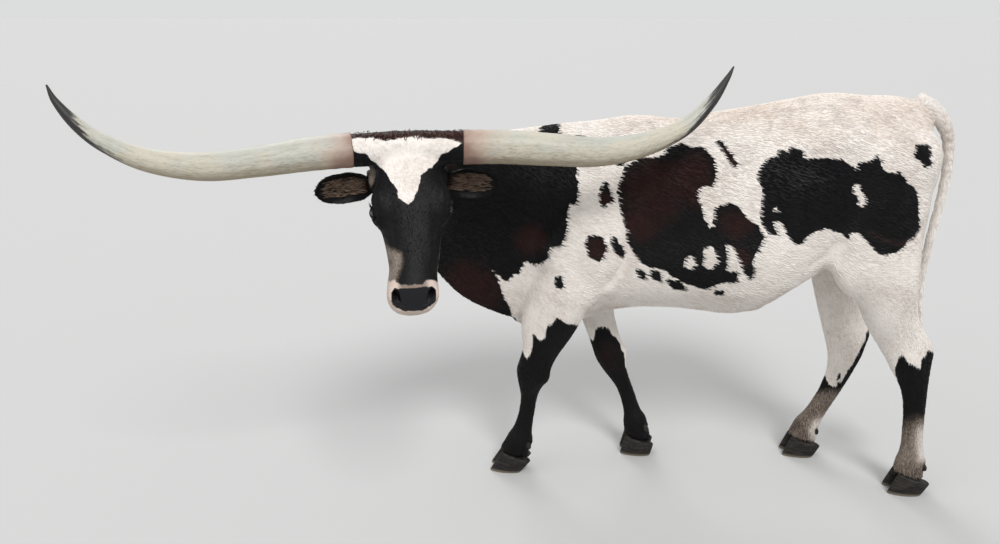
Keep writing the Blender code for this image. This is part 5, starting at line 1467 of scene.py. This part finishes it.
for name, axes in eye_frames.items():
    centre = np.array(eyes[name])
    bm = bmesh.new()
    bmesh.ops.create_uvsphere(bm, u_segments=EYE_TURNS, v_segments=EYE_RINGS, radius=1.0)
    ball = bpy.data.meshes.new("eye_" + name)
    bm.to_mesh(ball)
    bm.free()
    way = points_of(ball)
    tilt = np.arccos(np.clip(way[:, 2], -1, 1))
    reach = EYE_RADIUS - 0.0006 + CORNEA_BULGE * np.clip(1 - (tilt / CORNEA_TURN) ** 2, 0, 1)
    gaze = way * EYE_RADIUS
    frame_sign = np.sign(np.linalg.det(axes))
    way[:, 1] *= frame_sign
    moved_to(ball, centre + (way * reach[:, None]) @ axes)
    kept(ball, "gaze", gaze)
    ball.shade_smooth()
    ball.materials.append(eye_finish)
    shown("eye_" + name, ball, "eye", "eye_" + name)

    turn = np.arange(RIM_STEPS) / RIM_STEPS * 2 * math.pi
    a = SLIT_HALF * np.cos(turn)
    b = SLIT_HEIGHT * np.sign(np.sin(turn)) * (1 - np.abs(np.cos(turn)) ** 1.8)
    c = np.sqrt(EYE_RADIUS ** 2 - a ** 2 - b ** 2)
    line = np.stack((a, b, c), axis=1) / EYE_RADIUS * (EYE_RADIUS + RIM_PROUD)
    run = np.roll(line, -1, axis=0) - np.roll(line, 1, axis=0)
    run /= np.linalg.norm(run, axis=1)[:, None]
    out = line / np.linalg.norm(line, axis=1)[:, None]
    cross = np.cross(run, out)
    spin = np.arange(RIM_AROUND) / RIM_AROUND * 2 * math.pi
    tube = line[:, None] + RIM_RADIUS * (np.cos(spin)[None, :, None] * out[:, None]
                                         + np.sin(spin)[None, :, None] * cross[:, None])
    faces = [(k * RIM_AROUND + j, k * RIM_AROUND + (j + 1) % RIM_AROUND,
              (k + 1) % RIM_STEPS * RIM_AROUND + (j + 1) % RIM_AROUND,
              (k + 1) % RIM_STEPS * RIM_AROUND + j)
             for k in range(RIM_STEPS) for j in range(RIM_AROUND)]
    mesh = bpy.data.meshes.new("lid_rim_" + name)
    mesh.from_pydata((tube.reshape(-1, 3) @ axes + centre).tolist(), [], faces)
    turned_outward(mesh)
    mesh.materials.append(rim_finish)
    shown("lid_rim_" + name, mesh, "coat")

    up_way = 1.0 if axes[1] @ np.array(head_out) > 0 else -1.0
    random = np.random.default_rng(90)
    t = (np.arange(LASHES) + random.random(LASHES) * 0.6) / LASHES * 0.86 + 0.07
    a = SLIT_HALF * np.cos(t * math.pi)
    b = SLIT_HEIGHT * up_way * (1 - np.abs(np.cos(t * math.pi)) ** 1.8)
    c = np.sqrt(EYE_RADIUS ** 2 - a ** 2 - b ** 2)
    local = np.stack((a, b, c), axis=1) / EYE_RADIUS * (EYE_RADIUS + LASH_PROUD)
    aim = local / np.linalg.norm(local, axis=1)[:, None] * 0.8
    aim[:, 1] += up_way * 0.10
    aim[:, 0] += a / SLIT_HALF * 0.25
    aim += random.normal(0, 0.06, (LASHES, 3))
    long = 0.011 + 0.008 * random.random(LASHES)
    tips = local + aim * long[:, None]
    droop = np.tile((0.0, -up_way * 0.0022, 0.0), (LASHES, 1))
    mesh = locks("lashes_" + name, local @ axes + centre, tips @ axes + centre, droop @ axes,
                 np.full(LASHES, LASH_WIDTH), np.tile(axes[1], (LASHES, 1)),
                 np.stack((t, np.full(LASHES, 0.5)), axis=1), steps=4, thin=0.8)
    mesh.materials.append(lash_finish)
    shown("lashes_" + name, mesh, "coat")

# Each foot ends in two claws of dark horn with paler worn edges, ringed as they grow down from the
# coronet, and two small dewclaws stand behind the pastern.
CLAW_GRAIN = 0.0024
DEWCLAW_GRAIN = 0.0016
RING_SPACING = 0.0068
RING_DEPTH = 0.0004
SOLE_REACH = 0.0030
CLAW_EASING = 22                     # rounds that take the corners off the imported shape
HOOF_BLACK = (0.009, 0.008, 0.0075)
HOOF_GREY = (0.026, 0.022, 0.019)
HOOF_STREAK = (0.075, 0.062, 0.050)
HOOF_WORN = (0.22, 0.185, 0.14)

hoof_finish, tree, shader = finish("hoof", Specular_IOR_Level=0.22)
place = tree.node("ShaderNodeTexCoord", out=3)
height = tree.node("ShaderNodeSeparateXYZ", {}, {0: place}, out=2)
growth = tree.noise(place, 90.0, 3.0, 0.6, (0.25, 0.25, 1.6))
grain_wire = tree.noise(place, 210.0, 3.0, 0.7, (1, 1, 0.14))
colour = tree.blend(tree.step(growth, 0.40, 0.64), HOOF_BLACK, HOOF_GREY)
colour = tree.blend(tree.step(grain_wire, 0.58, 0.76) * 0.5, colour, HOOF_STREAK)
worn = (1.0 - tree.step(height + (growth - 0.5) * 0.010, 0.002, 0.013)) * 0.75
colour = tree.blend(worn, colour, HOOF_WORN)
bump = tree.bump(0.5, 0.0010, growth + grain_wire * 0.5)
painted(tree, shader, Base_Color=colour, Roughness=0.45 + grain_wire * 0.25, Normal=bump)


def grown_horn(node, grain):
    """A packed claw in fine even cells, eased, with growth rings and its flat sole kept."""
    bm = bmesh.new()
    bm.from_mesh(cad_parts[node].data)
    bmesh.ops.remove_doubles(bm, verts=bm.verts, dist=WELD)
    rough_shape = bpy.data.meshes.new(node)
    bm.to_mesh(rough_shape)
    bm.free()
    mesh = remeshed(rough_shape, grain)
    mesh.name = node
    places = points_of(mesh)
    sole = 1.0 - rise(places[:, 2], SOLE_REACH * 0.5, SOLE_REACH)
    smooth = eased(mesh, places, CLAW_EASING, 0.5)
    smooth[:, 2] = np.where(sole > 0, places[:, 2], smooth[:, 2])
    moved_to(mesh, smooth)
    ring = np.sin(smooth[:, 2] * 2 * math.pi / RING_SPACING + 0.8 * np.sin(smooth[:, 0] * 60.0))
    ring *= (1.0 - sole) * rise(smooth[:, 2], 0.004, 0.012)
    smooth = smooth + normals_of(mesh) * (RING_DEPTH * ring)[:, None]
    smooth[:, 2] = np.maximum(smooth[:, 2], 0.0)
    moved_to(mesh, smooth)
    mesh.shade_smooth()
    mesh.materials.append(hoof_finish)
    return mesh


for leg in legs:
    for kind, grain in (("claw", CLAW_GRAIN), ("dewclaw", DEWCLAW_GRAIN)):
        for side in ("left", "right"):
            node = f"{kind}_{leg}_{side}"
            shown(node, grown_horn(node, grain), "hoof", node)

# A plain pale floor and soft studio light: a broad key from the front left, a fill and a rim,
# all far off, so that the floor is evenly lit out to the horizon.
FLOOR_REACH = 300.0
FLOOR_GREY = (0.485, 0.487, 0.483)
SKY_PALE = (0.895, 0.90, 0.90)
SKY_STRENGTH = 0.80
LAMPS = (                            # name, height and heading in degrees, strength, softness in degrees
    ("key", 48.0, 205.0, 2.0, 20.0),
    ("fill", 28.0, 120.0, 0.45, 50.0),
    ("rim", 40.0, 20.0, 0.9, 30.0),
)

floor_mesh = bpy.data.meshes.new("floor")
corners = [(x * FLOOR_REACH, y * FLOOR_REACH, 0.0) for x, y in ((-1, -1), (1, -1), (1, 1), (-1, 1))]
floor_mesh.from_pydata(corners, [], [(0, 1, 2, 3)])
floor = placed("floor", floor_mesh)
floor_finish, tree, shader = finish("floor", Roughness=0.9, Specular_IOR_Level=0.2)
shader.inputs["Base Color"].default_value = (*FLOOR_GREY, 1.0)
floor_mesh.materials.append(floor_finish)
world = bpy.data.worlds.new("studio")
bpy.context.scene.world = world
world.use_nodes = True
sky = world.node_tree.nodes["Background"]
sky.inputs["Color"].default_value = (*SKY_PALE, 1.0)
sky.inputs["Strength"].default_value = SKY_STRENGTH
for name, height, heading, strength, softness in LAMPS:
    lamp = bpy.data.lights.new(name, "SUN")
    lamp.energy = strength
    lamp.angle = math.radians(softness)
    placed(name, lamp).rotation_euler = (math.radians(90.0 - height), 0.0, math.radians(heading - 180.0))
bpy.context.scene.view_settings.view_transform = "Standard"
